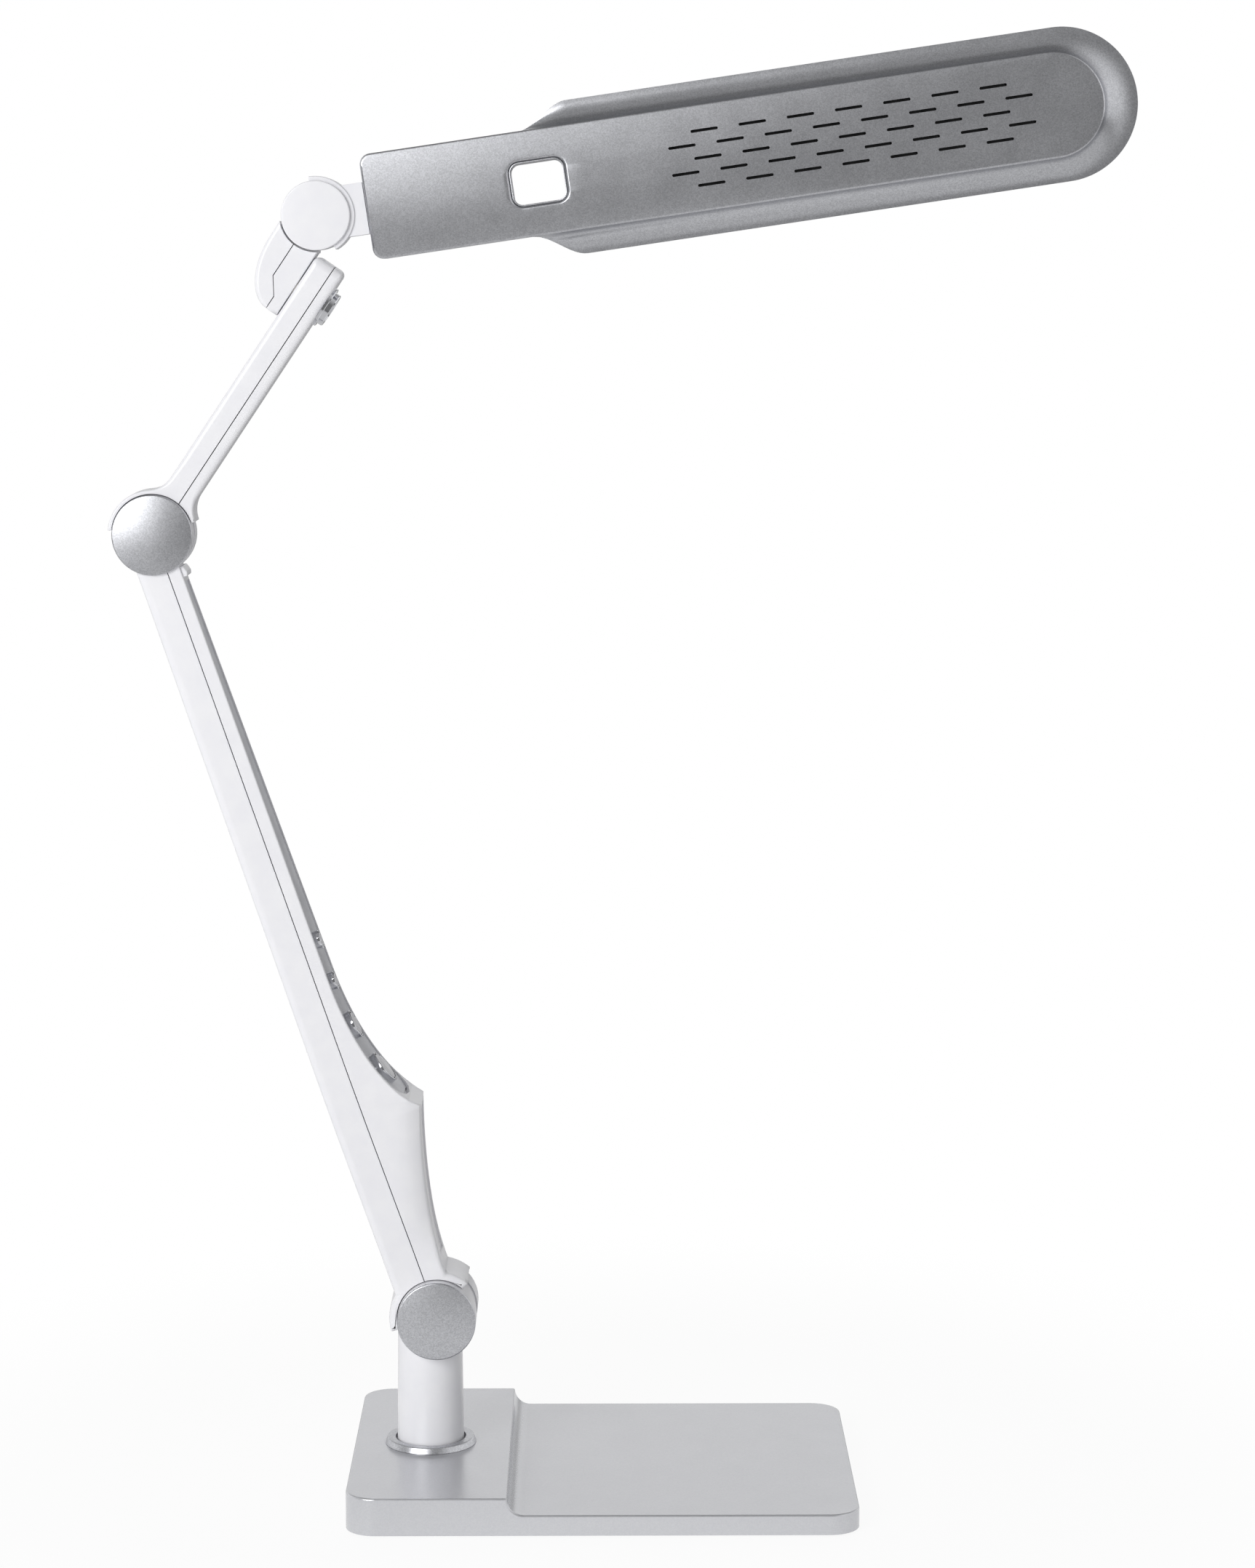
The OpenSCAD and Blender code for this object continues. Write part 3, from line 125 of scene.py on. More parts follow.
@dataclass(frozen=True)
class Finish:
    """A surface finish that makes one procedural material.

    Attributes:
        name: Name of the material, after the real one.
        slot: Slot of the record that the finish belongs to; not used.
        dark: Darker hex colour of the mottle.
        light: Lighter hex colour of the mottle.
        work: How pieces get it.
        patch: Size of the mottle's patches in millimetres.
        gloss: Lowest and highest roughness.
        smear: Size of the roughness patches in millimetres.
        grain: Size of the surface grain in millimetres.
        depth: Depth of the surface grain in millimetres.
        metallic: Share of metal.
        ior: Index of refraction.
    """

    name: str
    slot: str
    dark: str
    light: str
    work: Work = Work.MOULDED
    patch: float = 9.0
    gloss: Point = (0.25, 0.35)
    smear: float = 14.0
    grain: float = 0.8
    depth: float = 0.006
    metallic: float = 0.0
    ior: float = 1.5

    def material(self) -> bpy.types.Material:
        """Gives the finish's material, made at its first use.

        Returns:
            The material, whose colour, roughness and grain vary over the piece.
        """
        known = bpy.data.materials.get(self.name)
        if known:
            return known
        made = bpy.data.materials.new(self.name)
        made.use_nodes = True
        tree = made.node_tree
        place = add_node(tree, "TexCoord").outputs["Object"]
        smear, grain = (add_node(tree, "TexNoise", {"Scale": per_mm(size), "Detail": fine}, {"Vector": place})
                        for size, fine in ((self.smear, 4.0), (self.grain, 2.0)))
        colour = add_node(tree, "Mix", {"data_type": "RGBA", 6: linear(self.dark), 7: linear(self.light)},
                          {0: self.mottle(tree, place)})
        rough = add_node(tree, "MapRange", {"From Min": 0.3, "From Max": 0.7, "To Min": self.gloss[0],
                                            "To Max": self.gloss[1]}, {"Value": smear.outputs[0]})
        relief = add_node(tree, "Bump", {"Strength": 1.0, "Distance": self.depth * MM},
                          {"Height": grain.outputs[0]})
        shader = tree.nodes["Principled BSDF"]
        for socket, value in (("Metallic", self.metallic), ("IOR", self.ior)):
            shader.inputs[socket].default_value = value
        for socket, source in (("Base Color", colour.outputs[2]), ("Roughness", rough.outputs[0]),
                               ("Normal", relief.outputs[0])):
            tree.links.new(source, shader.inputs[socket])
        return made

    def mottle(self, tree: Tree, place: Socket) -> Socket:
        """Gives the lighter colour's share in soft patches."""
        noise = add_node(tree, "TexNoise", {"Scale": per_mm(self.patch), "Detail": 3.0}, {"Vector": place})
        return add_node(tree, "MapRange", {"From Min": 0.35, "From Max": 0.65},
                        {"Value": noise.outputs[0]}).outputs[0]


@dataclass(frozen=True)
class FlakePaint(Finish):
    """Paint with metal flakes, each of which has its own brightness.

    Attributes:
        flake: Size of a flake in millimetres.
    """

    flake: float = 0.4

    def mottle(self, tree: Tree, place: Socket) -> Socket:
        """Gives the lighter colour's share, different for each flake."""
        cells = add_node(tree, "TexVoronoi", {"Scale": per_mm(self.flake)}, {"Vector": place})
        return add_node(tree, "SeparateColor", links={0: cells.outputs["Color"]}).outputs[0]


# Injection-moulded ABS: bright white with a soft gloss and the faint orange peel of a polished mould.
WHITE = Finish("moulded_white_abs", "white_abs", "#EDEDF1", "#F0F0F3", gloss=(0.24, 0.27), grain=1.6)
# Silver flake paint under a thin lacquer: flakes drawn larger than real so that their sparkle shows.
SILVER = FlakePaint("silver_flake_paint", "silver_paint", "#B5B6BA", "#CFD0D4", Work.PAINTED,
                    gloss=(0.31, 0.34), grain=0.5, metallic=1.0)
# Fine silver paint, rubbed smooth: its flakes hardly show, so it mirrors its neighbours softly.
SATIN = FlakePaint("rubbed_silver_paint", "silver_paint", "#CBCCD0", "#D1D2D5", Work.PAINTED,
                   gloss=(0.25, 0.27), grain=0.5, depth=0.001, metallic=0.65, flake=0.5)
# Satin grey moulding of the button strip: even, with a fine spark-eroded texture.
GREY = Finish("satin_grey_abs", "grey_panel", "#BEBFC4", "#C7C8CC", gloss=(0.34, 0.4), grain=0.5, depth=0.008,
              metallic=0.4)
# Chrome plating on plastic: mirror bright with a slight wave.
CHROME = Finish("chrome_plated_abs", "chrome_trim", "#D4D5D9", "#DDDEE2", Work.PLATED, gloss=(0.04, 0.1),
                grain=4.0, depth=0.004, metallic=1.0)
# Zinc-plated steel: dull bright metal with cloudy patches.
STEEL = Finish("zinc_plated_steel", "steel_hardware", "#9A9CA0", "#B4B5B8", patch=3.0, gloss=(0.28, 0.42),
               grain=0.3, metallic=1.0)
# Cast iron as it leaves the sand: dark, rough and grainy.
IRON = Finish("sand_cast_iron", "iron_weight", "#3A3A3C", "#4A4A4C", patch=2.0, gloss=(0.6, 0.75), grain=0.9,
              depth=0.08, metallic=0.9)
# Foam rubber: matt black with open pores.
FOAM = Finish("black_foam_rubber", "foam_pad", "#141416", "#1E1E20", patch=1.2, gloss=(0.85, 0.95), grain=0.7,
              depth=0.12)
# Natural acetal: creamy, slightly waxy bearing plastic.
ACETAL = Finish("natural_acetal", "bearing_polymer", "#E4DFD2", "#ECE8DD", gloss=(0.32, 0.42), ior=1.48)
# Black nylon moulding: satin with a fine texture.
NYLON = Finish("black_nylon", "black_plastic", "#101012", "#1A1A1C", gloss=(0.38, 0.5), grain=0.5, depth=0.01,
               ior=1.53)
# Glass-fibre board under black solder mask: glossy, with the weave faintly mottled.
BOARD = Finish("solder_masked_board", "circuit_board", "#0E0F11", "#16171A", patch=1.5, gloss=(0.22, 0.34))
# Phosphor resin of the light-emitting packages: waxy yellow.
PHOSPHOR = Finish("phosphor_resin", "led_package", "#EBCF62", "#F2DC7E", patch=0.8, gloss=(0.3, 0.4))
# Opal acrylic sheet: milky white with a satin face.
OPAL = Finish("satin_opal_acrylic", "opal_diffuser", "#F3F3F2", "#F8F8F7", gloss=(0.32, 0.4), ior=1.49)


class Plane(Enum):
    """Planes that an outline is drawn on, named after the view that shows it."""

    SIDE = "xz"
    TOP = "xy"

    def at(self, point: Point, rise: float) -> Vector:
        """Gives the place of an outline's point, raised off the plane by rise."""
        return Vector((point[0], rise, point[1]) if self is Plane.SIDE else (*point, rise))


class Spindle(Enum):
    """Axes that a profile of radius and height is turned about."""

    X = (1, 0, 0)
    Y = (0, 1, 0)
    Z = (0, 0, 1)

    def at(self, radius: float, height: float) -> Vector:
        """Gives the place of a profile's point before turning."""
        side = Vector((0, 0, 1)) if self is Spindle.X else Vector((1, 0, 0))
        return Vector(self.value) * height + side * radius


def steps_between(start: float, end: float, steps: int) -> list[float]:
    """Gives evenly spaced numbers from start to end."""
    return [start + (end - start) * i / steps for i in range(steps + 1)]


def arc(centre: Point, radius: float, start: float, end: float, steps: int) -> Outline:
    """Draws an arc of so many chords between two angles in degrees."""
    angles = map(radians, steps_between(start, end, steps))
    return [(centre[0] + radius * cos(a), centre[1] + radius * sin(a)) for a in angles]


def rounded_rect(width: float, height: float, radius: float, steps: int) -> Outline:
    """Draws a rectangle about the origin, with round corners of so many chords."""
    a, b = width / 2 - radius, height / 2 - radius
    return [p for i, corner in enumerate(((a, b), (-a, b), (-a, -b), (a, -b)))
            for p in arc(corner, radius, 90 * i, 90 * i + 90, steps)]


def hinge_frame(joint: dict, lean: float) -> Matrix:
    """Gives the matrix to the lamp's frame from a joint's, turned about Y by lean radians."""
    return Matrix.Translation(Vector(joint["pos_m"]) / MM) @ Matrix.Rotation(lean, 4, "Y")


@dataclass
class Blank:
    """A piece under work, in millimetres in the frame it is drawn in.

    Attributes:
        bm: Mesh of the piece.
    """

    bm: BMesh = field(default_factory=bmesh.new)

    @classmethod
    def of_node(cls, node: bpy.types.Object) -> "Blank":
        """Starts from a merged copy of a CAD node.

        Args:
            node: The CAD node.

        Returns:
            Its copy, in the lamp's frame.
        """
        blank = cls()
        bm = blank.bm
        bm.from_mesh(node.data)
        blank.move(Matrix.Scale(1 / MM, 4))
        bmesh.ops.remove_doubles(bm, verts=bm.verts, dist=0.002)
        bmesh.ops.dissolve_limit(bm, angle_limit=radians(0.5), verts=bm.verts, edges=bm.edges)
        return blank

    @classmethod
    def raised(cls, outline: Iterable[Point], low: float, high: float) -> "Blank":
        """Extrudes an outline that is drawn from the side.

        Args:
            outline: Points of the outline.
            low: Where the solid starts, across the side view.
            high: Where it ends.

        Returns:
            The closed solid.
        """
        blank = cls()
        face = blank.bm.faces.new([blank.bm.verts.new(Plane.SIDE.at(p, low)) for p in outline])
        raised = bmesh.ops.extrude_face_region(blank.bm, geom=[face])["geom"]
        far_side = [g for g in raised if isinstance(g, BMVert)]
        bmesh.ops.translate(blank.bm, verts=far_side, vec=(0, high - low, 0))
        blank.face_out()
        return blank

    @classmethod
    def turned(cls, profile: Sequence[Point], spindle: Spindle, steps: int) -> "Blank":
        """Turns a profile.

        Args:
            profile: Radius and height of each point; a profile that leaves the axis open is closed.
            spindle: Axis of turning.
            steps: Facets of a full turn.

        Returns:
            The closed solid.
        """
        blank = cls()
        verts = [blank.bm.verts.new(spindle.at(*p)) for p in profile]
        pairs = list(zip(verts, verts[1:]))
        if profile[0][0] > 0 or profile[-1][0] > 0:
            pairs.append((verts[-1], verts[0]))
        edges = [blank.bm.edges.new(pair) for pair in pairs]
        bmesh.ops.spin(blank.bm, geom=verts + edges, cent=(0, 0, 0), axis=spindle.value, angle=2 * pi,
                       steps=steps, use_merge=True)
        bmesh.ops.remove_doubles(blank.bm, verts=blank.bm.verts, dist=0.0005)
        blank.face_out()
        return blank

    @classmethod
    def turned_pair(cls, profile: Sequence[Point]) -> dict[str, "Blank"]:
        """Turns a profile for both sides of a joint.

        Args:
            profile: Radius and height of each point, for the rear side.

        Returns:
            The two solids by side.
        """
        pair = {side: cls.turned(profile, Spindle.Y, 96) for side in ("front", "rear")}
        pair["front"].move(Matrix.Scale(-1, 4, ACROSS))
        pair["front"].face_out()
        return pair

    def move(self, matrix: Matrix) -> None:
        """Moves the whole piece."""
        bmesh.ops.transform(self.bm, matrix=matrix, verts=self.bm.verts)

    def face_out(self) -> None:
        """Turns all faces outwards."""
        bmesh.ops.recalc_face_normals(self.bm, faces=self.bm.faces)

    def add(self, other: "Blank", place: Optional[Matrix] = None) -> None:
        """Takes up another blank.

        Args:
            other: The blank, which is used up.
            place: Where it goes.
        """
        other.move(place or Matrix())
        part = bpy.data.meshes.new("part")
        other.bm.to_mesh(part)
        other.bm.free()
        self.bm.from_mesh(part)
        bpy.data.meshes.remove(part)

    def cut(self, normal: Sequence[float], place: float, faces: Optional[list[BMFace]] = None) -> None:
        """Splits faces along a plane.

        Args:
            normal: Normal of the plane.
            place: Its distance from the origin.
            faces: Faces to split, or all of them.
        """
        some = list(self.bm.faces) if faces is None else faces
        edges = {e for f in some for e in f.edges}
        verts = {v for e in edges for v in e.verts}
        bmesh.ops.bisect_plane(self.bm, geom=[*verts, *edges, *some], dist=1e-4,
                               plane_co=Vector(normal) * place, plane_no=normal)

    def inset(self, faces: list[BMFace], lip: float, depth: float = 0.0) -> None:
        """Sets faces in by the width of a lip, as one region, and sinks them."""
        bmesh.ops.inset_region(self.bm, faces=faces, thickness=lip, depth=-depth, use_boundary=True,
                               use_even_offset=True)

    def pierce(self, face: BMFace, places: list[Vector]) -> None:
        """Opens a hole in a flat face.

        Args:
            face: The face.
            places: Outline of the hole.
        """
        normal = face.normal.copy()
        edges = list(face.edges)
        bmesh.ops.delete(self.bm, geom=[face], context="FACES_ONLY")
        bmesh.ops.triangle_fill(self.bm, use_beauty=True, normal=normal, edges=edges + self.loop(places))

    def loop(self, places: list[Vector]) -> list[BMEdge]:
        """Adds a closed loop of edges through the given places."""
        verts = [self.bm.verts.new(p) for p in places]
        return [self.bm.edges.new((verts[i - 1], v)) for i, v in enumerate(verts)]

    def bridge(self, loops: list[list[BMEdge]], closed: bool = False) -> None:
        """Skins neighbouring loops, and the last one to the first where they close."""
        for one, two in list(zip(loops, loops[1:])) + ([(loops[-1], loops[0])] if closed else []):
            bmesh.ops.bridge_loops(self.bm, edges=one + two)

    def sharp(self, limit: float = 30.0) -> list[BMEdge]:
        """Gives the edges that turn by more than limit degrees."""
        return [e for e in self.bm.edges if len(e.link_faces) == 2 and e.calc_face_angle() > radians(limit)]

    def ease(self, edges: list[BMEdge], width: float, segments: int = 3, clamp: bool = True) -> None:
        """Rounds edges at once, held back where there is no room if clamped."""
        bmesh.ops.bevel(self.bm, geom=edges, offset=width, offset_type="OFFSET", segments=segments,
                        profile=0.5, affect="EDGES", material=-1, clamp_overlap=clamp)

    def plan_rounding(self, width: Callable[[Vector], float]) -> None:
        """Notes how far each sharp edge is rounded, as a share of the widest rounding.

        Args:
            width: Gives the width of the rounding from the middle of an edge.
        """
        layer = self.bm.edges.layers.float.get(ROUNDING) or self.bm.edges.layers.float.new(ROUNDING)
        for edge in self.sharp():
            edge[layer] = width((edge.verts[0].co + edge.verts[1].co) / 2) / WIDEST

    def keep(self, node: str, body: str, finish: Finish, place: Optional[Matrix] = None, wall: float = 0.0,
             work: Optional[Work] = None) -> None:
        """Makes the blank a finished piece that stands for a CAD node.

        Args:
            node: Name of the node.
            body: Body that carries the piece.
            finish: Its finish.
            place: Frame that it was drawn in.
            wall: Thickness of its wall, where it is a skin.
            work: How it got its surface, where its finish doesn't say.
        """
        self.move(Matrix.Scale(MM, 4) @ (place or Matrix()))
        planned = self.bm.edges.layers.float.get(ROUNDING)
        for face in self.bm.faces:
            face.smooth = True
        for edge in self.sharp(40):
            edge.smooth = bool(planned and edge[planned] > 0)
        for edge in self.bm.edges:
            if edge.is_boundary:
                edge.smooth = False
        name = f"{(work or finish.work).value}_{node}"
        mesh = bpy.data.meshes.new(name)
        self.bm.to_mesh(mesh)
        self.bm.free()
        mesh.materials.append(finish.material())
        piece = bpy.data.objects.new(name, mesh)
        bpy.context.scene.collection.objects.link(piece)
        if planned:
            rounding = piece.modifiers.new("rounding", "BEVEL")
            rounding.limit_method = "WEIGHT"
            rounding.width = WIDEST * MM
            rounding.segments = 5
            rounding.use_clamp_overlap = False
        if wall:
            skin = piece.modifiers.new("wall", "SOLIDIFY")
            skin.thickness = wall * MM
            skin.offset = -1
            skin.use_even_offset = True
        piece.modifiers.new("even_shading", "WEIGHTED_NORMAL").keep_sharp = True
        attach(piece, body)
        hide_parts(node)
        LOG.info("%s on %s: %d faces", name, body, len(mesh.polygons))


@dataclass
class Lamp:
    """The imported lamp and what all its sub-assemblies share.

    Attributes:
        nodes: CAD nodes by name.
    """

    nodes: dict[str, bpy.types.Object]

    def carry(self, finish: Finish, *names: str) -> None:
        """Gives CAD nodes that stay as they are their finish.

        Args:
            finish: The finish.
            names: Names of the nodes.
        """
        for name in names:
            node = self.nodes[name]
            if not node.material_slots:
                node.data.materials.append(None)
            for slot in node.material_slots:
                slot.material = finish.material()
            LOG.info("%s carried over", name)

    def recast(self, node: str, body: str, finish: Finish, ease: float) -> None:
        """Replaces a CAD node by a merged copy with eased edges.

        Args:
            node: Name of the node.
            body: Body that carries it.
            finish: Its finish.
            ease: Width of the eased edges.
        """
        blank = Blank.of_node(self.nodes[node])
        blank.ease(blank.sharp(), ease)
        blank.keep(node, body, finish)


@dataclass(frozen=True)
class JointCaps:
    """The round caps on the two sides of a joint.

    Attributes:
        radius: Radius of a cap.
        seat: Where its back sits, across the joint.
        height: Its thickness.
        crown: Rise of its face in the middle.
        edge: Radius of its rim.
    """

    radius: float
    seat: float
    height: float = 2.2
    crown: float = 1.0
    edge: float = 0.6

    def build(self, stem: str, body: str, finish: Finish, place: Matrix) -> None:
        """Turns both caps.

        Args:
            stem: Name of their CAD nodes, without the side.
            body: Body that carries them.
            finish: Their finish.
            place: Frame of the joint.
        """
        top = self.seat + self.height - self.crown
        flat = self.radius - self.edge
        face = [(flat * i / 10, top + self.crown * (1 - (i / 10) ** 2)) for i in range(10)]
        rim = arc((flat, top - self.edge), self.edge, 90, 0, 6)
        profile = face + rim + [(self.radius, self.seat), (0, self.seat)]
        for side, blank in Blank.turned_pair(profile).items():
            blank.keep(f"{stem}_{side}", body, finish, place)


@dataclass(frozen=True)
class Tongue:
    """The drum inside a hood, which is thicker under the hood and so grows into it.

    Attributes:
        radii: Radius of the drum and of its root under the hood.
        half: Half the drum's width.
        drum: First and last angle of the drum.
        root: First and last angle of the root.
        chords: Chords of the two arcs.
    """

    radii: Point
    half: float
    drum: Point
    root: Point
    chords: tuple[int, int]

    def raised(self, centre: Point = (0, 0)) -> Blank:
        """Raises the tongue about the middle of its joint."""
        arcs = zip(self.radii, (self.drum, self.root), self.chords)
        return Blank.raised([p for r, turn, steps in arcs for p in arc(centre, r, *turn, steps)],
                            -self.half, self.half)


@dataclass
class Base:
    """Weighted base with its stepped cover, the collar round the post and the power inlet.

    Attributes:
        span: Left and right end.
        depth: Size from front to back.
        foot: Height of the cover's lower rim.
        top: Height of the thick end.
        thin: Height of the thin end.
        ridge: Where the step begins.
        corner: Radius of the corners.
        edge: Rounding of the upper edges.
        wall: Thickness of the cover.
        post_hole: Radius of the hole for the post's bush.
        inlet: Radius and height of the hole for the power inlet.
        collar: Profile of the collar as radius and height over the top.
    """

    span: Point = (-33.0, 183.0)
    depth: float = 160.0
    foot: float = 1.0
    top: float = 17.0
    thin: float = 9.7
    ridge: float = 35.0
    corner: float = 13.0
    edge: float = 0.8
    wall: float = 2.4
    post_hole: float = 12.2
    inlet: Point = (4.15, 8.8)
    collar: tuple[Point, ...] = ((15.3, 0.0), (19.6, 0.0), (19.8, 0.1), (19.8, 0.3), (19.0, 2.25),
                                 (18.85, 2.5), (18.55, 2.65), (18.2, 2.7), (15.7, 2.7),
                                 (15.4, 2.6), (15.3, 2.3))

    def build(self, lamp: Lamp) -> None:
        """Builds and dresses the base.

        Args:
            lamp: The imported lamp.
        """
        self.cover()
        collar = Blank.turned([(r, self.top + h) for r, h in self.collar], Spindle.Z, 120)
        collar.keep("swivel_collar", "base", SILVER, work=Work.TURNED)
        lamp.carry(FOAM, "desk_pad")
        lamp.carry(STEEL, "base_plate", "base_screws")
        lamp.carry(IRON, "base_weight")
        lamp.carry(ACETAL, "swivel_bush")
        lamp.carry(NYLON, "dc_inlet")

    def cover(self) -> None:
        """Raises the cover from its side view, rounds it, opens it below and pierces it."""
        left, right = self.span
        back = self.depth / 2
        step = self.top - self.thin
        blank = Blank.raised([(left, self.foot), (left, self.top),
                              *arc((self.ridge + step, self.top), step, 180, 270, 14),
                              (right, self.thin), (right, self.foot)], -back, back)
        upright = [e for e in blank.bm.edges if e.verts[0].co.x in self.span
                   and abs(e.verts[0].co.z - e.verts[1].co.z) > step / 2]
        blank.ease(upright, self.corner, 12, clamp=False)
        upper = [e for e in blank.sharp() if min(v.co.z for v in e.verts) > self.foot + 1]
        blank.ease(upper, self.edge, clamp=False)
        below = [f for f in blank.bm.faces if f.normal.z < -0.9]
        bmesh.ops.delete(blank.bm, geom=below, context="FACES")
        radius, height = self.inlet
        post_hole = [Plane.TOP.at(p, self.top) for p in arc((0, 0), self.post_hole, 0, 350, 35)]
        inlet_hole = [Plane.SIDE.at(p, back) for p in arc((0, height), radius, 0, 345, 23)]
        for hole in (post_hole, inlet_hole):
            flat = [f for f in blank.bm.faces
                    if all(abs((v.co - hole[0]).dot(f.normal)) < 0.01 for v in f.verts)]
            blank.pierce(max(flat, key=BMFace.calc_area), hole)
        blank.keep("base_cover", "base", SATIN, wall=self.wall)


@dataclass
class Post:
    """Turning post with the cheeks of the lower joint.

    Attributes:
        hinge: Frame of the lower joint.
        ease: Rounding of the post's edges.
        caps: Caps of the lower joint.
    """

    hinge: Matrix
    ease: float = 0.4
    caps: JointCaps = JointCaps(17.0, 18.5)

    def build(self, lamp: Lamp) -> None:
        """Builds and dresses the post.

        Args:
            lamp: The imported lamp.
        """
        lamp.recast("post", "post", WHITE, self.ease)
        self.caps.build("lower_cap", "post", SILVER, self.hinge)
        lamp.carry(STEEL, "swivel_washer", "swivel_nut", "lower_bolt", "lower_nut")
        lamp.carry(ACETAL, "lower_washers")


@dataclass
class LowerArm:
    """Broad lower arm with its halves, grey strip, bezels, buttons and elbow caps.

    Attributes:
        hinge: Frame of the lower joint, with Z along the arm.
        elbow: Frame of the elbow.
        length: Distance between the two joints.
        widths: Half the arm's width at places along it.
        hood: Inner and outer radius of the hood round the lower joint.
        hood_ends: Angles at which the hood ends on the two sides.
        hood_edges: Rounding of the hood's ends, of its inner and of its outer edges.
        tongue: Tongue inside the hood.
        outer: Distance of the outer face from the arm's line, at the hood and at the elbow.
        outer_edge: Rounding of the outer face's edges.
        inner: Distance of the straight inner face from the arm's line.
        inner_edge: Rounding of the inner face's edges, what the fin adds, and over which length it grows.
        seat: Radius of the hollow under the elbow.
        cheek: Profile of the elbow's cheeks as radius and height.
        caps: Caps of the elbow.
        parting: Middle and width of the gap between the halves.
        flare_at: Where the inner face starts to flare.
        flare: Length and width of the flare's quarter ellipse.
        fin: Lower and upper end of the fin's back.
        fin_tip: Where the fin's back meets the inner face.
        fin_out: Distance of the fin's back at its foot, and how far it sweeps out.
        fin_power: Shape of that sweep.
        fall: How wide the sides of the fin fall away towards its back, and how deep.
        fall_fades: Over which length that fall grows from the fin's foot and fades above its tip.
        fall_lines: Distances from the fin's back at which the sides bend.
        groove: Lower and upper end of the groove in the fin's back, and half its share of the width.
        groove_sink: Slant and depth of the groove's walls.
        recess: Lower and upper end of the hollow for the strip.
        recess_lip: Width of the rim round that hollow.
        recess_bend: Size of the bends at the hollow's lower end, across and along the arm.
        recess_sink: Slant and depth of the hollow's walls.
        tab: Outline of the tab above the hollow.
        tab_half: Half the tab's width.
        tab_edge: Rounding of the tab's edges.
        strip_under: Distance of the strip's face and back below the inner face.
        strip_gap: Gap round the strip.
        strip_edge: Rounding of the strip's edges.
        trough: How far the strip is dished.
        buttons: What each button does, its place along the arm and its radius.
        bezel: Profile of a chrome ring, as distance outside its button and height over the strip.
        button_span: Lower and upper end of a button over the strip.
        button_gap: How much smaller a button is than its opening.
        button_edge: Radius of a button's edge.
        button_dish: Depth of a button's dish near its middle, and in its middle.
    """

    hinge: Matrix
    elbow: Matrix
    length: float
    widths: tuple[Point, ...] = ((-40.0, 15.0), (34.0, 15.0), (91.0, 18.0), (116.0, 18.0), (331.65, 9.0),
                                 (400.0, 9.0))
    hood: Point = (17.4, 20.6)
    hood_ends: Point = (178.0, 30.0)
    hood_edges: Triple = (0.4, 0.3, 2.3)
    tongue: Tongue = Tongue((16.4, 18.2), 4.5, (180, 448), (88, 179), (60, 16))
    outer: Point = (13.6, 11.85)
    outer_edge: float = 3.6
    inner: float = 6.2
    inner_edge: Triple = (0.6, 1.2, 16.0)
    seat: float = 16.8
    cheek: tuple[Point, ...] = ((0.0, 3.96), (16.6, 3.96), (17.0, 4.36), (17.0, 9.6), (0.0, 9.6))
    caps: JointCaps = JointCaps(17.0, 9.6)
    parting: Point = (0.575, 0.4)
    flare_at: float = 155.0
    flare: Point = (68.107, 28.572)
    fin: Point = (21.0, 89.8)
    fin_tip: float = 91.0
    fin_out: Point = (10.3, 14.7)
    fin_power: float = 1.6
    fall: Point = (11.0, 3.6)
    fall_fades: Point = (26.0, 6.0)
    fall_lines: tuple[float, ...] = (11.0, 7.0, 4.6, 2.6)
    groove: Triple = (24.0, 88.8, 0.62)
    groove_sink: Point = (0.3, 0.8)
    recess: Point = (96.0, 335.0)
    recess_lip: float = 1.8
    recess_bend: Point = (11.5, 8.0)
    recess_sink: Point = (0.06, 2.0)
    tab: tuple[Point, ...] = ((4.0, 336.9), (8.0, 336.9), (8.5, 338.6), (7.6, 341.6), (4.0, 342.0))
    tab_half: float = 7.8
    tab_edge: float = 0.5
    strip_under: Point = (0.5, 1.9)
    strip_gap: float = 0.15
    strip_edge: float = 0.2
    trough: float = 1.0
    buttons: tuple[tuple[str, float, float], ...] = (("power", 109.0, 6.6), ("tone", 131.0, 5.4),
                                                     ("brighter", 152.0, 3.0), ("dimmer", 171.0, 3.0))
    bezel: tuple[Point, ...] = ((1.1, -1.5), (1.1, 1.5), (0.8, 1.9), (0.35, 1.9), (0.15, 1.7), (0.15, -1.5))
    button_span: Point = (-1.8, 2.0)
    button_gap: float = 0.25
    button_edge: float = 0.6
    button_dish: Point = (0.25, 0.27)

    def build(self, lamp: Lamp) -> None:
        """Builds and dresses the lower arm.

        Args:
            lamp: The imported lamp.
        """
        self.outer_half()
        self.inner_half()
        self.strip()
        self.caps.build("elbow_cap", "lower_arm", SILVER, self.elbow)
        self.bezels()
        for name, station, opening in self.buttons:
            self.button(name, station, opening)
        lamp.carry(BOARD, "control_board")
        lamp.carry(NYLON, "button_switches")
        lamp.carry(STEEL, "lower_arm_screws", "elbow_bolt", "elbow_nut")
        lamp.carry(ACETAL, "elbow_washers")

    def half(self, station: float) -> float:
        """Gives half the arm's width at a station.

        Args:
            station: Place along the arm.

        Returns:
            Half the width.
        """
        for (low, one), (high, two) in zip(self.widths, self.widths[1:]):
            if station <= high:
                return one + (two - one) * (station - low) / (high - low)
        return self.widths[-1][1]

    def turn_at(self, station: float) -> float:
        """Gives the flare's angle parameter at a station."""
        return asin(held((self.flare_at - station) / self.flare[0]))

    def face(self, station: float) -> float:
        """Gives the distance of the inner face from the arm's line."""
        return self.inner + self.flare[1] * (1 - cos(self.turn_at(station)))

    def fin_back(self, station: float) -> float:
        """Gives the distance of the fin's back from the arm's line."""
        rise = (station - self.fin[0]) / (self.fin_tip - self.fin[0])
        return self.fin_out[0] + self.fin_out[1] * rise ** self.fin_power

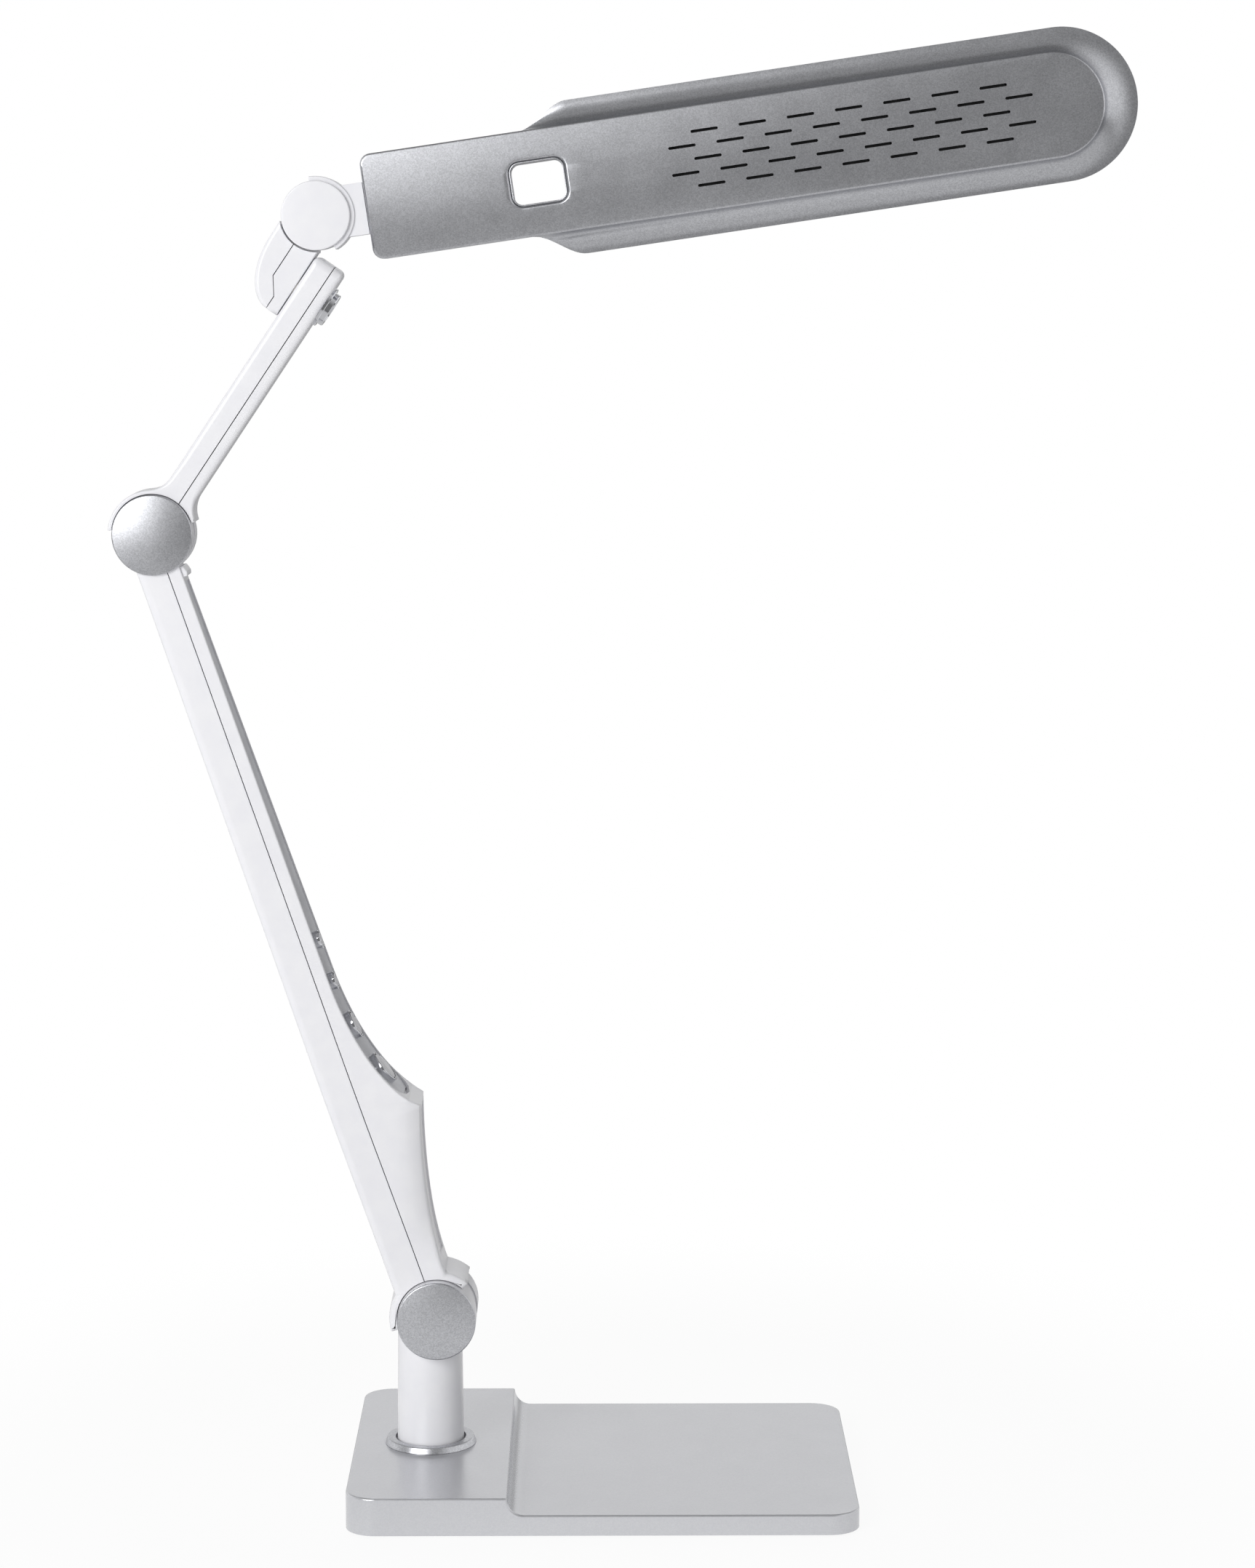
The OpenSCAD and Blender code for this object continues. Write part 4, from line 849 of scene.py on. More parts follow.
    def outer_outline(self) -> Outline:
        """Draws the outer half from the side.

        Returns:
            The outline's points.
        """
        inner_r, outer_r = self.hood
        seam = self.parting[0] - self.parting[1] / 2
        root = 180 - degrees(acos(self.outer[0] / outer_r))
        rest = 180 + degrees(acos(self.outer[1] / self.seat))
        return (arc((0, 0), outer_r, self.hood_ends[0], root, 12)
                + arc((0, self.length), self.seat, rest, 270 + degrees(asin(seam / self.seat)), 8)
                + arc((0, 0), inner_r, degrees(acos(seam / inner_r)), self.hood_ends[0], 20))

    def fin_outline(self) -> Outline:
        """Draws the flared inner face and the fin's back from the side."""
        return ([(self.face(s), s) for s in steps_between(self.flare_at, self.fin_tip, 16)]
                + [(self.fin_back(s), s) for s in steps_between(*self.fin[::-1], 14)])

    def inner_outline(self) -> Outline:
        """Draws the inner half from the side.

        Returns:
            The outline's points.
        """
        inner_r, outer_r = self.hood
        seam = self.parting[0] + self.parting[1] / 2
        first, last = (270 + degrees(asin(x / self.seat)) for x in (seam, self.inner))
        return (arc((0, self.length), self.seat, first, last, 4) + self.fin_outline()
                + arc((0, 0), outer_r, degrees(acos(self.fin_out[0] / outer_r)), self.hood_ends[1], 6)
                + arc((0, 0), inner_r, self.hood_ends[1], degrees(acos(seam / inner_r)), 10))

    def spread(self, blank: Blank, inset: float = 0.0) -> None:
        """Gives a blank of unit half width the arm's taper.

        Args:
            blank: The blank.
            inset: How far it stays inside the arm's sides.
        """
        for station, _ in self.widths[1:-1]:
            blank.cut(ALONG, station)
        for vert in blank.bm.verts:
            vert.co.y *= self.half(vert.co.z) - inset

    def rounding(self, mid: Vector) -> float:
        """Gives the rounding of a half's edge.

        Args:
            mid: Middle of the edge.

        Returns:
            Width of the rounding.
        """
        inner_r, outer_r = self.hood
        ends, inside, outside = self.hood_edges
        reach = hypot(mid.x, mid.z)
        parted = abs(mid.x - self.parting[0]) < self.parting[1]
        if abs(mid.y) < 0.02:
            return ends if reach < outer_r + 1 and not parted else 0.0
        if parted or abs(abs(mid.y) - self.half(mid.z)) > 0.02:
            return 0.0
        if reach < inner_r + 0.2 or hypot(mid.x, mid.z - self.length) < self.seat + 0.1:
            return inside
        if reach < outer_r + 0.05:
            return outside
        least, more, length = self.inner_edge
        return self.outer_edge if mid.x < 0 else least + more * held((self.groove[1] - mid.z) / length)

    def walls(self, blank: Blank, surface: Callable[[float], float], low: float, high: float) -> list[BMFace]:
        """Finds the faces of a half that lie on a surface of the arm between two stations."""
        middles = {f: f.calc_center_median() for f in blank.bm.faces if abs(f.normal.y) < 0.1}
        return [f for f, mid in middles.items() if low < mid.z < high and abs(mid.x - surface(mid.z)) < 0.5]

    def hollow(self, blank: Blank, high: float) -> list[BMFace]:
        """Finds the faces inside the rim of the strip's hollow, up to a station."""
        middles = {f: f.calc_center_median() for f in self.walls(blank, self.face, self.recess[0], high)}
        return [f for f, mid in middles.items() if abs(mid.y) < self.half(mid.z) - self.recess_lip]

    def bends(self) -> list[tuple[Vector, float]]:
        """Finds the planes that cut off the corners of the hollow's lower end.

        Returns:
            Normal and distance of each plane.
        """
        low = self.recess[0]
        across, along = self.recess_bend
        edge = self.half(low) - self.recess_lip
        bend = [(edge - across * (1 - cos(a)), low + along * (1 - sin(a)))
                for a in steps_between(0, pi / 2, 5)]
        planes = []
        for (y, z), (next_y, next_z) in zip(bend, bend[1:]):
            for side in (-1, 1):
                normal = Vector((0, side * (z - next_z), next_y - y)).normalized()
                planes.append((normal, normal.dot((0, side * y, z))))
        return planes

    def slope(self, blank: Blank) -> None:
        """Lets the sides of the fin fall away towards its back.

        Args:
            blank: The inner half.
        """
        foot, top = self.fin[0], self.fin_tip
        wide, deep = self.fall
        grow, fade = self.fall_fades

        def on_side(vert: BMVert) -> bool:
            """Tells whether a vertex lies on a side of the arm, along the fin."""
            return foot - 0.1 < vert.co.z < top + fade and abs(abs(vert.co.y) - self.half(vert.co.z)) < 0.01

        rows = [e for e in blank.bm.edges if all(map(on_side, e.verts))
                and abs(e.verts[0].co.z - e.verts[1].co.z) < 0.001 and e.verts[0].co.y * e.verts[1].co.y > 0]
        spans = [sorted((v.co.copy() for v in e.verts), key=lambda place: place.x) for e in rows]
        bmesh.ops.subdivide_edges(blank.bm, edges=rows, cuts=len(self.fall_lines), use_grid_fill=True)
        for start, end in spans:
            row = sorted((v for v in blank.bm.verts if (v.co.yz - end.yz).length < 0.001),
                         key=lambda v: v.co.x)
            for vert, line in zip(row[1:], self.fall_lines):
                vert.co.x = end.x - line * min(1, 0.92 * (end.x - start.x) / wide)
        for vert in filter(on_side, list(blank.bm.verts)):
            z = vert.co.z
            away = (self.fin_back(z) if z <= top else self.face(z)) - vert.co.x
            grown = soft_step(min((z - foot) / grow, (top + fade - z) / fade))
            drop = deep * grown * max(0, 1 - away / wide) ** 2
            vert.co.y -= drop if vert.co.y > 0 else -drop

    def outer_half(self) -> None:
        """Raises the outer half, with the tongue of its hood and the cheeks of the elbow."""
        blank = Blank.raised(self.outer_outline(), -1, 1)
        self.spread(blank)
        blank.plan_rounding(self.rounding)
        blank.add(self.tongue.raised())
        for cheek in Blank.turned_pair(self.cheek).values():
            blank.add(cheek, Matrix.Translation((0, 0, self.length)))
        blank.keep("lower_arm_outer", "lower_arm", WHITE, self.hinge)

    def inner_half(self) -> None:
        """Raises the inner half, sinks the strip's hollow and the fin's groove, and adds the tab."""
        blank = Blank.raised(self.inner_outline(), -1, 1)
        low, high = self.recess[0] - self.recess_lip, self.recess[1] + self.recess_lip
        for station in (low, high):
            blank.cut(ALONG, station, [f for f in blank.bm.faces if abs(f.normal.y) < 0.1])
        for station in (*self.groove[:2], *(s for _, s in self.fin_outline())):
            blank.cut(ALONG, station)
        for side in (-1, 1):
            blank.cut(ACROSS, side * self.groove[2])
        self.spread(blank)
        blank.inset(self.walls(blank, self.face, low, high), self.recess_lip)
        bends = self.bends()
        for normal, place in bends:
            blank.cut(normal, place, self.hollow(blank, self.recess[0] + 1.5 * self.recess_bend[1]))
        hollow = [f for f in self.hollow(blank, self.recess[1])
                  if all(normal.dot(f.calc_center_median()) < place for normal, place in bends)]
        blank.inset(hollow, *self.recess_sink)
        groove = [f for f in self.walls(blank, self.fin_back, *self.groove[:2])
                  if abs(f.calc_center_median().y) < 0.1]
        blank.inset(groove, *self.groove_sink)
        blank.plan_rounding(self.rounding)
        self.slope(blank)
        tab = Blank.raised(self.tab, -self.tab_half, self.tab_half)
        tab.plan_rounding(lambda mid: self.tab_edge)
        blank.add(tab)
        blank.keep("lower_arm_inner", "lower_arm", WHITE, self.hinge)

    def strip(self) -> None:
        """Raises the dished grey strip that lies in the hollow of the inner half."""
        low, high = self.recess[0] + self.strip_gap, self.recess[1] - self.strip_gap
        run = [high, *steps_between(self.flare_at, low, 16)]
        upper, under = self.strip_under
        blank = Blank.raised([(self.face(s) - upper, s) for s in run]
                             + [(self.face(s) - under, s) for s in reversed(run)], -1, 1)
        for share in steps_between(-0.75, 0.75, 6):
            blank.cut(ACROSS, share)
        inset = self.recess_lip + self.strip_gap
        self.spread(blank, inset)
        for vert in blank.bm.verts:
            share = vert.co.y / (self.half(vert.co.z) - inset)
            if vert.co.x > self.face(vert.co.z) - (upper + under) / 2:
                vert.co.x -= self.trough * (1 - share ** 2)
        blank.plan_rounding(lambda mid: self.strip_edge)
        blank.keep("control_panel", "lower_arm", GREY, self.hinge)

    def button_frame(self, station: float) -> Matrix:
        """Finds the frame of a button, with Z out of the strip.

        Args:
            station: Place of the button along the arm.

        Returns:
            Matrix from the button's frame to the lamp's.
        """
        slope = atan(self.flare[1] / self.flare[0] * tan(self.turn_at(station)))
        place = Matrix.Translation((self.face(station) - self.strip_under[0], 0, station))
        return self.hinge @ place @ Matrix.Rotation(pi / 2 - slope, 4, "Y")

    def bezels(self) -> None:
        """Turns the four chrome rings as one piece."""
        rings = Blank()
        for _, station, opening in self.buttons:
            ring = Blank.turned([(opening + out, height) for out, height in self.bezel], Spindle.Z, 64)
            rings.add(ring, self.button_frame(station))
        rings.keep("button_bezels", "lower_arm", CHROME)

    def button(self, name: str, station: float, opening: float) -> None:
        """Turns one button with a slightly dished face.

        Args:
            name: What it does.
            station: Its place along the arm.
            opening: Radius of its opening.
        """
        foot, top = self.button_span
        radius, edge = opening - self.button_gap, self.button_edge
        rim = arc((radius - edge, top - edge), edge, 0, 90, 6)
        deep, deepest = self.button_dish
        dish = [(radius * share, top - deep * (1 - share / 0.85)) for share in (0.8, 0.6, 0.4, 0.2)]
        blank = Blank.turned([(0, foot), (radius, foot), *rim, *dish, (0, top - deepest)], Spindle.Z, 48)
        blank.keep("button_" + name, "button_" + name, WHITE, self.button_frame(station))


@dataclass
class UpperArm:
    """Slim upper arm in two halves with the chrome cap of the neck swivel.

    Attributes:
        elbow: Frame of the elbow, with Z along the upper arm.
        top: Length of the arm from the elbow.
        half: Half its width.
        side: Half its thickness.
        side_edge: Rounding of its edges, what it grows by away from the hood, where, and over which length.
        end_edges: Rounding of its end, and of the end's corners.
        hood: Inner and outer radius of the hood round the elbow.
        hood_ends: Angles at which the hood ends on the two sides.
        hood_edges: Rounding of the hood's ends and of its inner edges.
        tongue: Tongue inside the hood.
        fillet: Radius of the hollow between hood and arm.
        parting: Middle and width of the gap between the halves.
        cap: Profile of the chrome cap as radius and height over the arm's axis.
        cap_at: Place of the cap along the arm.
    """

    elbow: Matrix
    top: float = 136.3
    half: float = 9.0
    side: float = 6.9
    side_edge: tuple[float, ...] = (0.8, 1.6, 16.0, 12.0)
    end_edges: Point = (4.2, 2.5)
    hood: Point = (17.4, 19.0)
    hood_ends: Point = (208.0, 51.0)
    hood_edges: Point = (0.4, 0.2)
    tongue: Tongue = Tongue((16.4, 18.0), 3.0, (208, 443), (83, 207), (60, 20))
    fillet: float = 12.0
    parting: Point = (2.075, 0.4)
    cap: tuple[Point, ...] = ((0.0, 6.9), (9.1, 6.9), (9.1, 7.9), (8.8, 8.2), (7.5, 8.2), (7.5, 10.1),
                              (7.1, 10.5), (5.6, 10.5), (5.2, 10.1), (0.0, 10.1))
    cap_at: float = 120.0

    def build(self, lamp: Lamp) -> None:
        """Builds and dresses the upper arm.

        Args:
            lamp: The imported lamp.
        """
        for name, outline in zip(("outer", "inner"), self.outlines()):
            blank = Blank.raised(outline, -self.half, self.half)
            blank.plan_rounding(self.rounding)
            if name == "outer":
                blank.add(self.tongue.raised())
            blank.keep("upper_arm_" + name, "upper_arm", WHITE, self.elbow)
        cap = Blank.turned(self.cap, Spindle.X, 72)
        cap.move(Matrix.Translation((0, 0, self.cap_at)))
        cap.keep("neck_swivel_cap", "upper_arm", CHROME, self.elbow)
        lamp.carry(STEEL, "upper_arm_screws", "neck_bolt", "neck_nut")
        lamp.carry(ACETAL, "neck_washers")

    def outlines(self) -> tuple[Outline, Outline]:
        """Draws the outer and the inner half from the side.

        Returns:
            The points of both outlines.
        """
        inner_r, outer_r = self.hood
        first, last = self.hood_ends
        reach = self.side + self.fillet
        rise = ((outer_r + self.fillet) ** 2 - reach ** 2) ** 0.5
        lean = degrees(atan2(rise, reach))
        seams = [self.parting[0] + side * self.parting[1] / 2 for side in (-1, 1)]
        turns = [degrees(acos(seam / inner_r)) for seam in seams]
        outer = (arc((0, 0), outer_r, first, 180 - lean, 18)
                 + arc((-reach, rise), self.fillet, -lean, 0, 10)[1:]
                 + [(-self.side, self.top), (seams[0], self.top)] + arc((0, 0), inner_r, turns[0], first, 28))
        inner = ([(seams[1], self.top), (self.side, self.top)]
                 + arc((reach, rise), self.fillet, 180, 180 + lean, 10) + arc((0, 0), outer_r, 0, last, 1)[1:]
                 + arc((0, 0), inner_r, last, turns[1], 8))
        return outer, inner

    def rounding(self, mid: Vector) -> float:
        """Gives the rounding of a half's edge.

        Args:
            mid: Middle of the edge.

        Returns:
            Width of the rounding.
        """
        inner_r, outer_r = self.hood
        reach = hypot(mid.x, mid.z)
        ended = abs(mid.z - self.top) < 0.02
        if abs(mid.x - self.parting[0]) < self.parting[1] and not ended:
            return 0.0
        if abs(mid.y) < 0.02:
            cornered = ended and abs(mid.x) > self.side - 0.1
            return self.end_edges[1] if cornered else self.hood_edges[0] if reach < outer_r + 1 else 0.0
        if ended:
            return self.end_edges[0]
        if reach < inner_r + 0.1:
            return self.hood_edges[1]
        least, more, start, length = self.side_edge
        return least + more * held((mid.z - start) / length) if reach > outer_r + 0.05 else least


@dataclass
class Neck:
    """Swivelling neck in two halves, drawn in the upper arm's frame.

    Attributes:
        arm: Frame of the elbow, with Z along the upper arm.
        half: Half its width.
        near: Where its flat side lies beside the arm.
        foot: Where it starts along the arm.
        bow: Where its round back starts, and the width and height of that quarter ellipse.
        joint: Middle of the head joint.
        hollow: Radius of the hollow round the head joint.
        tongue: Tongue inside that hollow.
        parting: Places of the gap between the halves, upwards.
        gap: Width of that gap.
        edges: Rounding of the hollow's edges, of the flat side's and of the back's.
    """

    arm: Matrix
    half: float = 8.0
    near: float = -7.3
    foot: float = 106.0
    bow: Triple = (-12.375, 15.225, 26.0)
    joint: Point = (-16.4, 149.7)
    hollow: float = 15.2
    tongue: Tongue = Tongue((13.8, 15.7), 3.0, (310, 600), (242, 308), (48, 10))
    parting: tuple[Point, Point] = ((-12.45, 112.0), (-17.45, 119.0))
    gap: float = 0.4
    edges: Triple = (0.3, 0.5, 1.8)

    def build(self, lamp: Lamp) -> None:
        """Builds and dresses the neck.

        Args:
            lamp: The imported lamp.
        """
        for name, outline in zip(("body", "cover"), self.outlines()):
            blank = Blank.raised(outline, -self.half, self.half)
            blank.plan_rounding(self.rounding)
            if name == "body":
                blank.add(self.tongue.raised(self.joint))
            blank.keep("neck_" + name, "neck", WHITE, self.arm)
        lamp.carry(STEEL, "neck_screws")

    def outlines(self) -> tuple[Outline, Outline]:
        """Draws the body and the cover from the side.

        Returns:
            The points of both outlines.
        """
        start, width, height = self.bow
        x, z = self.joint
        back = start - width
        lip = z - (self.hollow ** 2 - (back - x) ** 2) ** 0.5
        low, high = ([(px + side * self.gap / 2, pz) for px, pz in self.parting] for side in (-1, 1))
        low_turn, high_turn, end = (360 - degrees(acos((edge - x) / self.hollow))
                                    for edge in (low[1][0], high[1][0], self.near))
        body = ([(self.near, self.foot), (start + 0.1, self.foot)] + high
                + arc(self.joint, self.hollow, high_turn, end, 10))
        bow = [(start - width * sin(a), self.foot + height * (1 - cos(a)))
               for a in steps_between(0.02, pi / 2, 16)]
        first = 180 + degrees(acos((x - back) / self.hollow))
        cover = bow + [(back, lip)] + arc(self.joint, self.hollow, first, low_turn, 8)[1:] + low[::-1]
        return body, cover

    def rounding(self, mid: Vector) -> float:
        """Gives the rounding of a half's edge.

        Args:
            mid: Middle of the edge.

        Returns:
            Width of the rounding.
        """
        (low_x, low_z), (high_x, high_z) = self.parting
        seam = low_x + held((mid.z - low_z) / (high_z - low_z)) * (high_x - low_x)
        if abs(mid.y) < self.half - 0.02 or abs(mid.x - seam) < self.gap and mid.z > self.foot + 2:
            return 0.0
        inside, flat, back = self.edges
        if hypot(mid.x - self.joint[0], mid.z - self.joint[1]) < self.hollow + 0.1:
            return inside
        return flat if mid.x > self.near - 0.1 else back


@dataclass
class HeadYoke:
    """Tilting yoke that carries the head on its spigot.

    Attributes:
        hinge: Frame of the head joint.
        ease: Rounding of the yoke's edges.
        caps: Caps of the head joint.
    """

    hinge: Matrix
    ease: float = 0.35
    caps: JointCaps = JointCaps(14.4, 8.0, crown=0.3)

    def build(self, lamp: Lamp) -> None:
        """Builds and dresses the yoke.

        Args:
            lamp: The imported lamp.
        """
        lamp.recast("head_yoke", "head_yoke", WHITE, self.ease)
        self.caps.build("head_cap", "head_yoke", WHITE, self.hinge)
        lamp.carry(STEEL, "head_bolt", "head_nut", "twist_clip")
        lamp.carry(ACETAL, "head_washers")


@dataclass
class Head:
    """Long head with its coved and slotted shell, the frame below it, the window's liner and the light.

    Attributes:
        hinge: Frame of the head joint, with X along the head.
        start: Where the head starts.
        face_half: Half the width of the flat face.
        face_y: Depth of the flat face.
        cove: Width and depth of the cove.
        back: Depth of the shell's rim.
        flare: Where the cove starts and over which length it grows.
        tip: Middle of the round tip at the face, and how much further out it is at the rim.
        corner: Radius of the two corners at the joint.
        edge: Radius of the face's edge.
        wall: Thickness of the shell.
        frame_ease: Rounding of the frame's edges.
        window: Middle, length, height and corner radius of the window.
        window_lip: Clearance round the liner and rounding of the window's edge.
        liner: Rows of the window's liner, as distance outside the window and depth.
        slot: Length, width and pitch of the vent slots.
        slot_from: Where the first slot starts.
        slot_row: Distance between rows of slots.
        slot_count: Slots in a full row.
        crown: How far the face bulges across its width.
        crown_fades: Where along the head that bulge starts to fade, and where it ends.
    """

    hinge: Matrix
    start: float = 21.5
    face_half: float = 21.9
    face_y: float = -10.5
    cove: Point = (10.1, 9.0)
    back: float = -0.4
    flare: Point = (88.0, 22.0)
    tip: Point = (309.9, 4.6)
    corner: float = 4.5
    edge: float = 0.9
    wall: float = 1.6
    frame_ease: float = 0.3
    window: tuple[float, ...] = (93.9, 21.0, 16.0, 3.2)
    window_lip: Point = (1.35, 1.0)
    liner: tuple[Point, ...] = ((1.25, -10.0), (1.2, -10.4), (1.1, -10.5), (0.7, -10.55), (0.5, -10.5),
                                (0.4, -10.3), (0.4, 6.8), (0.5, 6.95), (1.05, 7.0), (1.2, 6.85), (1.2, -7.7),
                                (2.5, -7.75), (2.5, -8.7), (1.25, -8.75))
    slot: Triple = (11.5, 1.2, 20.2)
    slot_from: float = 149.3
    slot_row: float = 5.6
    slot_count: int = 8
    crown: float = 1.6
    crown_fades: Point = (150.0, 310.0)

    def build(self, lamp: Lamp) -> None:
        """Builds and dresses the head.

        Args:
            lamp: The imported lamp.
        """
        self.shell()
        self.window_liner()
        lamp.recast("head_frame", "head", WHITE, self.frame_ease)
        lamp.carry(ACETAL, "twist_bush")
        lamp.carry(BOARD, "led_board")
        lamp.carry(PHOSPHOR, "leds")
        lamp.carry(OPAL, "diffuser")
        lamp.carry(STEEL, "head_screws")

    def half(self, x: float, level: float) -> float:
        """Gives half the width along the head, at a level of the cove from 0 at the face to 1 at the rim."""
        return self.face_half + level * self.cove[0] * soft_step((x - self.flare[0]) / self.flare[1])

    def ring(self, level: float, inset: float, depth: float) -> list[Vector]:
        """Draws the head's outline at one level of the cove.

        Args:
            level: How far down the cove, from 0 at the face to 1 at the rim.
            inset: How far inside the outline.
            depth: Place along Y.

        Returns:
            The loop's places.
        """
        r = self.corner - inset * 0.6
        upper = arc((self.start + inset + r, self.face_half - inset - r), r, 180, 90, 8)
        begin, length = self.flare
        upper += [(x, self.half(x, level) - inset) for x in steps_between(begin, begin + length, 14)]
        tip_r = self.face_half + level * self.cove[0] - inset
        upper += arc((self.tip[0] + level * self.tip[1], 0), tip_r, 90, 0, 28)
        lower = [(x, -z) for x, z in reversed(upper[:-1])]
        return [Plane.SIDE.at(p, depth) for p in upper + lower]

    def slot_loops(self) -> list[list[Vector]]:
        """Draws the outlines of the vent slots on the face.

        Returns:
            The places of each loop.
        """
        length, width, pitch = self.slot
        outline = rounded_rect(length, width, width / 2 - 0.001, 5)
        loops = []
        for row in range(-2, 3):
            short = (row + 1) % 2
            for i in range(self.slot_count - short):
                x, z = self.slot_from + (i + short / 2) * pitch + length / 2, row * self.slot_row
                loops.append([Plane.SIDE.at((x + a, z + b), self.face_y) for a, b in outline])
        return loops

    def window_loop(self, grow: float, depth: float) -> list[Vector]:
        """Draws the window's outline, grown outwards, at a depth along Y."""
        x, length, height, radius = self.window
        return [Plane.SIDE.at((x + a, b), depth)
                for a, b in rounded_rect(length + 2 * grow, height + 2 * grow, radius + grow, 8)]

    def bulge(self, place: Vector) -> float:
        """Finds how far the shell bulges forward.

        Args:
            place: Place on the shell.

        Returns:
            Height of the bulge.
        """
        start, end = self.crown_fades
        across = max(0, 1 - (place.z / (self.face_half - self.edge)) ** 2)
        depth = held((self.back - place.y) / (self.back - self.face_y))
        return self.crown * soft_step((end - place.x) / (end - start)) * across * depth

    def shell(self) -> None:
        """Skins the coved shell, with its slots and the window's hole, and gives it its wall."""
        clear, lip = self.window_lip
        blank = Blank()
        rim = blank.loop(self.ring(0, self.edge, self.face_y))
        window = blank.loop(self.window_loop(clear + lip, self.face_y))
        holes = [e for places in self.slot_loops() for e in blank.loop(places)]
        bmesh.ops.triangle_fill(blank.bm, use_beauty=True, normal=(0, -1, 0), edges=rim + window + holes)
        rounded = [(1 - sin(radians(a)), 1 - cos(radians(a))) for a in (22.5, 45, 67.5, 90)]
        levels = [(0.0, self.edge * out, self.face_y + self.edge * down) for out, down in rounded]
        levels += [(1 - cos(radians(a)), 0.0, self.face_y + self.cove[1] * sin(radians(a)))
                   for a in (9, *steps_between(15, 90, 10))]
        levels.append((1.0, 0.0, self.back))
        blank.bridge([rim] + [blank.loop(self.ring(*level)) for level in levels])
        blank.bridge([window] + [blank.loop(self.window_loop(clear + lip * out, self.face_y + lip * down))
                                 for out, down in rounded])
        for normal, places in ((ALONG, steps_between(-18, 18, 12)),
                               ((1, 0, 0), steps_between(self.start + 12, self.tip[0], 24))):
            for place in places:
                flat = [f for f in blank.bm.faces if all(v.co.y < self.face_y + 1e-4 for v in f.verts)]
                blank.cut(normal, place, flat)
        for vert in blank.bm.verts:
            vert.co.y -= self.bulge(vert.co)
        blank.face_out()
        blank.keep("head_shell", "head", SILVER, self.hinge, wall=self.wall)

    def window_liner(self) -> None:
        """Skins the liner of the window, with the rib that holds it behind the shell."""
        blank = Blank()
        blank.bridge([blank.loop(self.window_loop(*row)) for row in self.liner], closed=True)
        blank.face_out()
        blank.keep("window_liner", "head", SILVER, self.hinge)


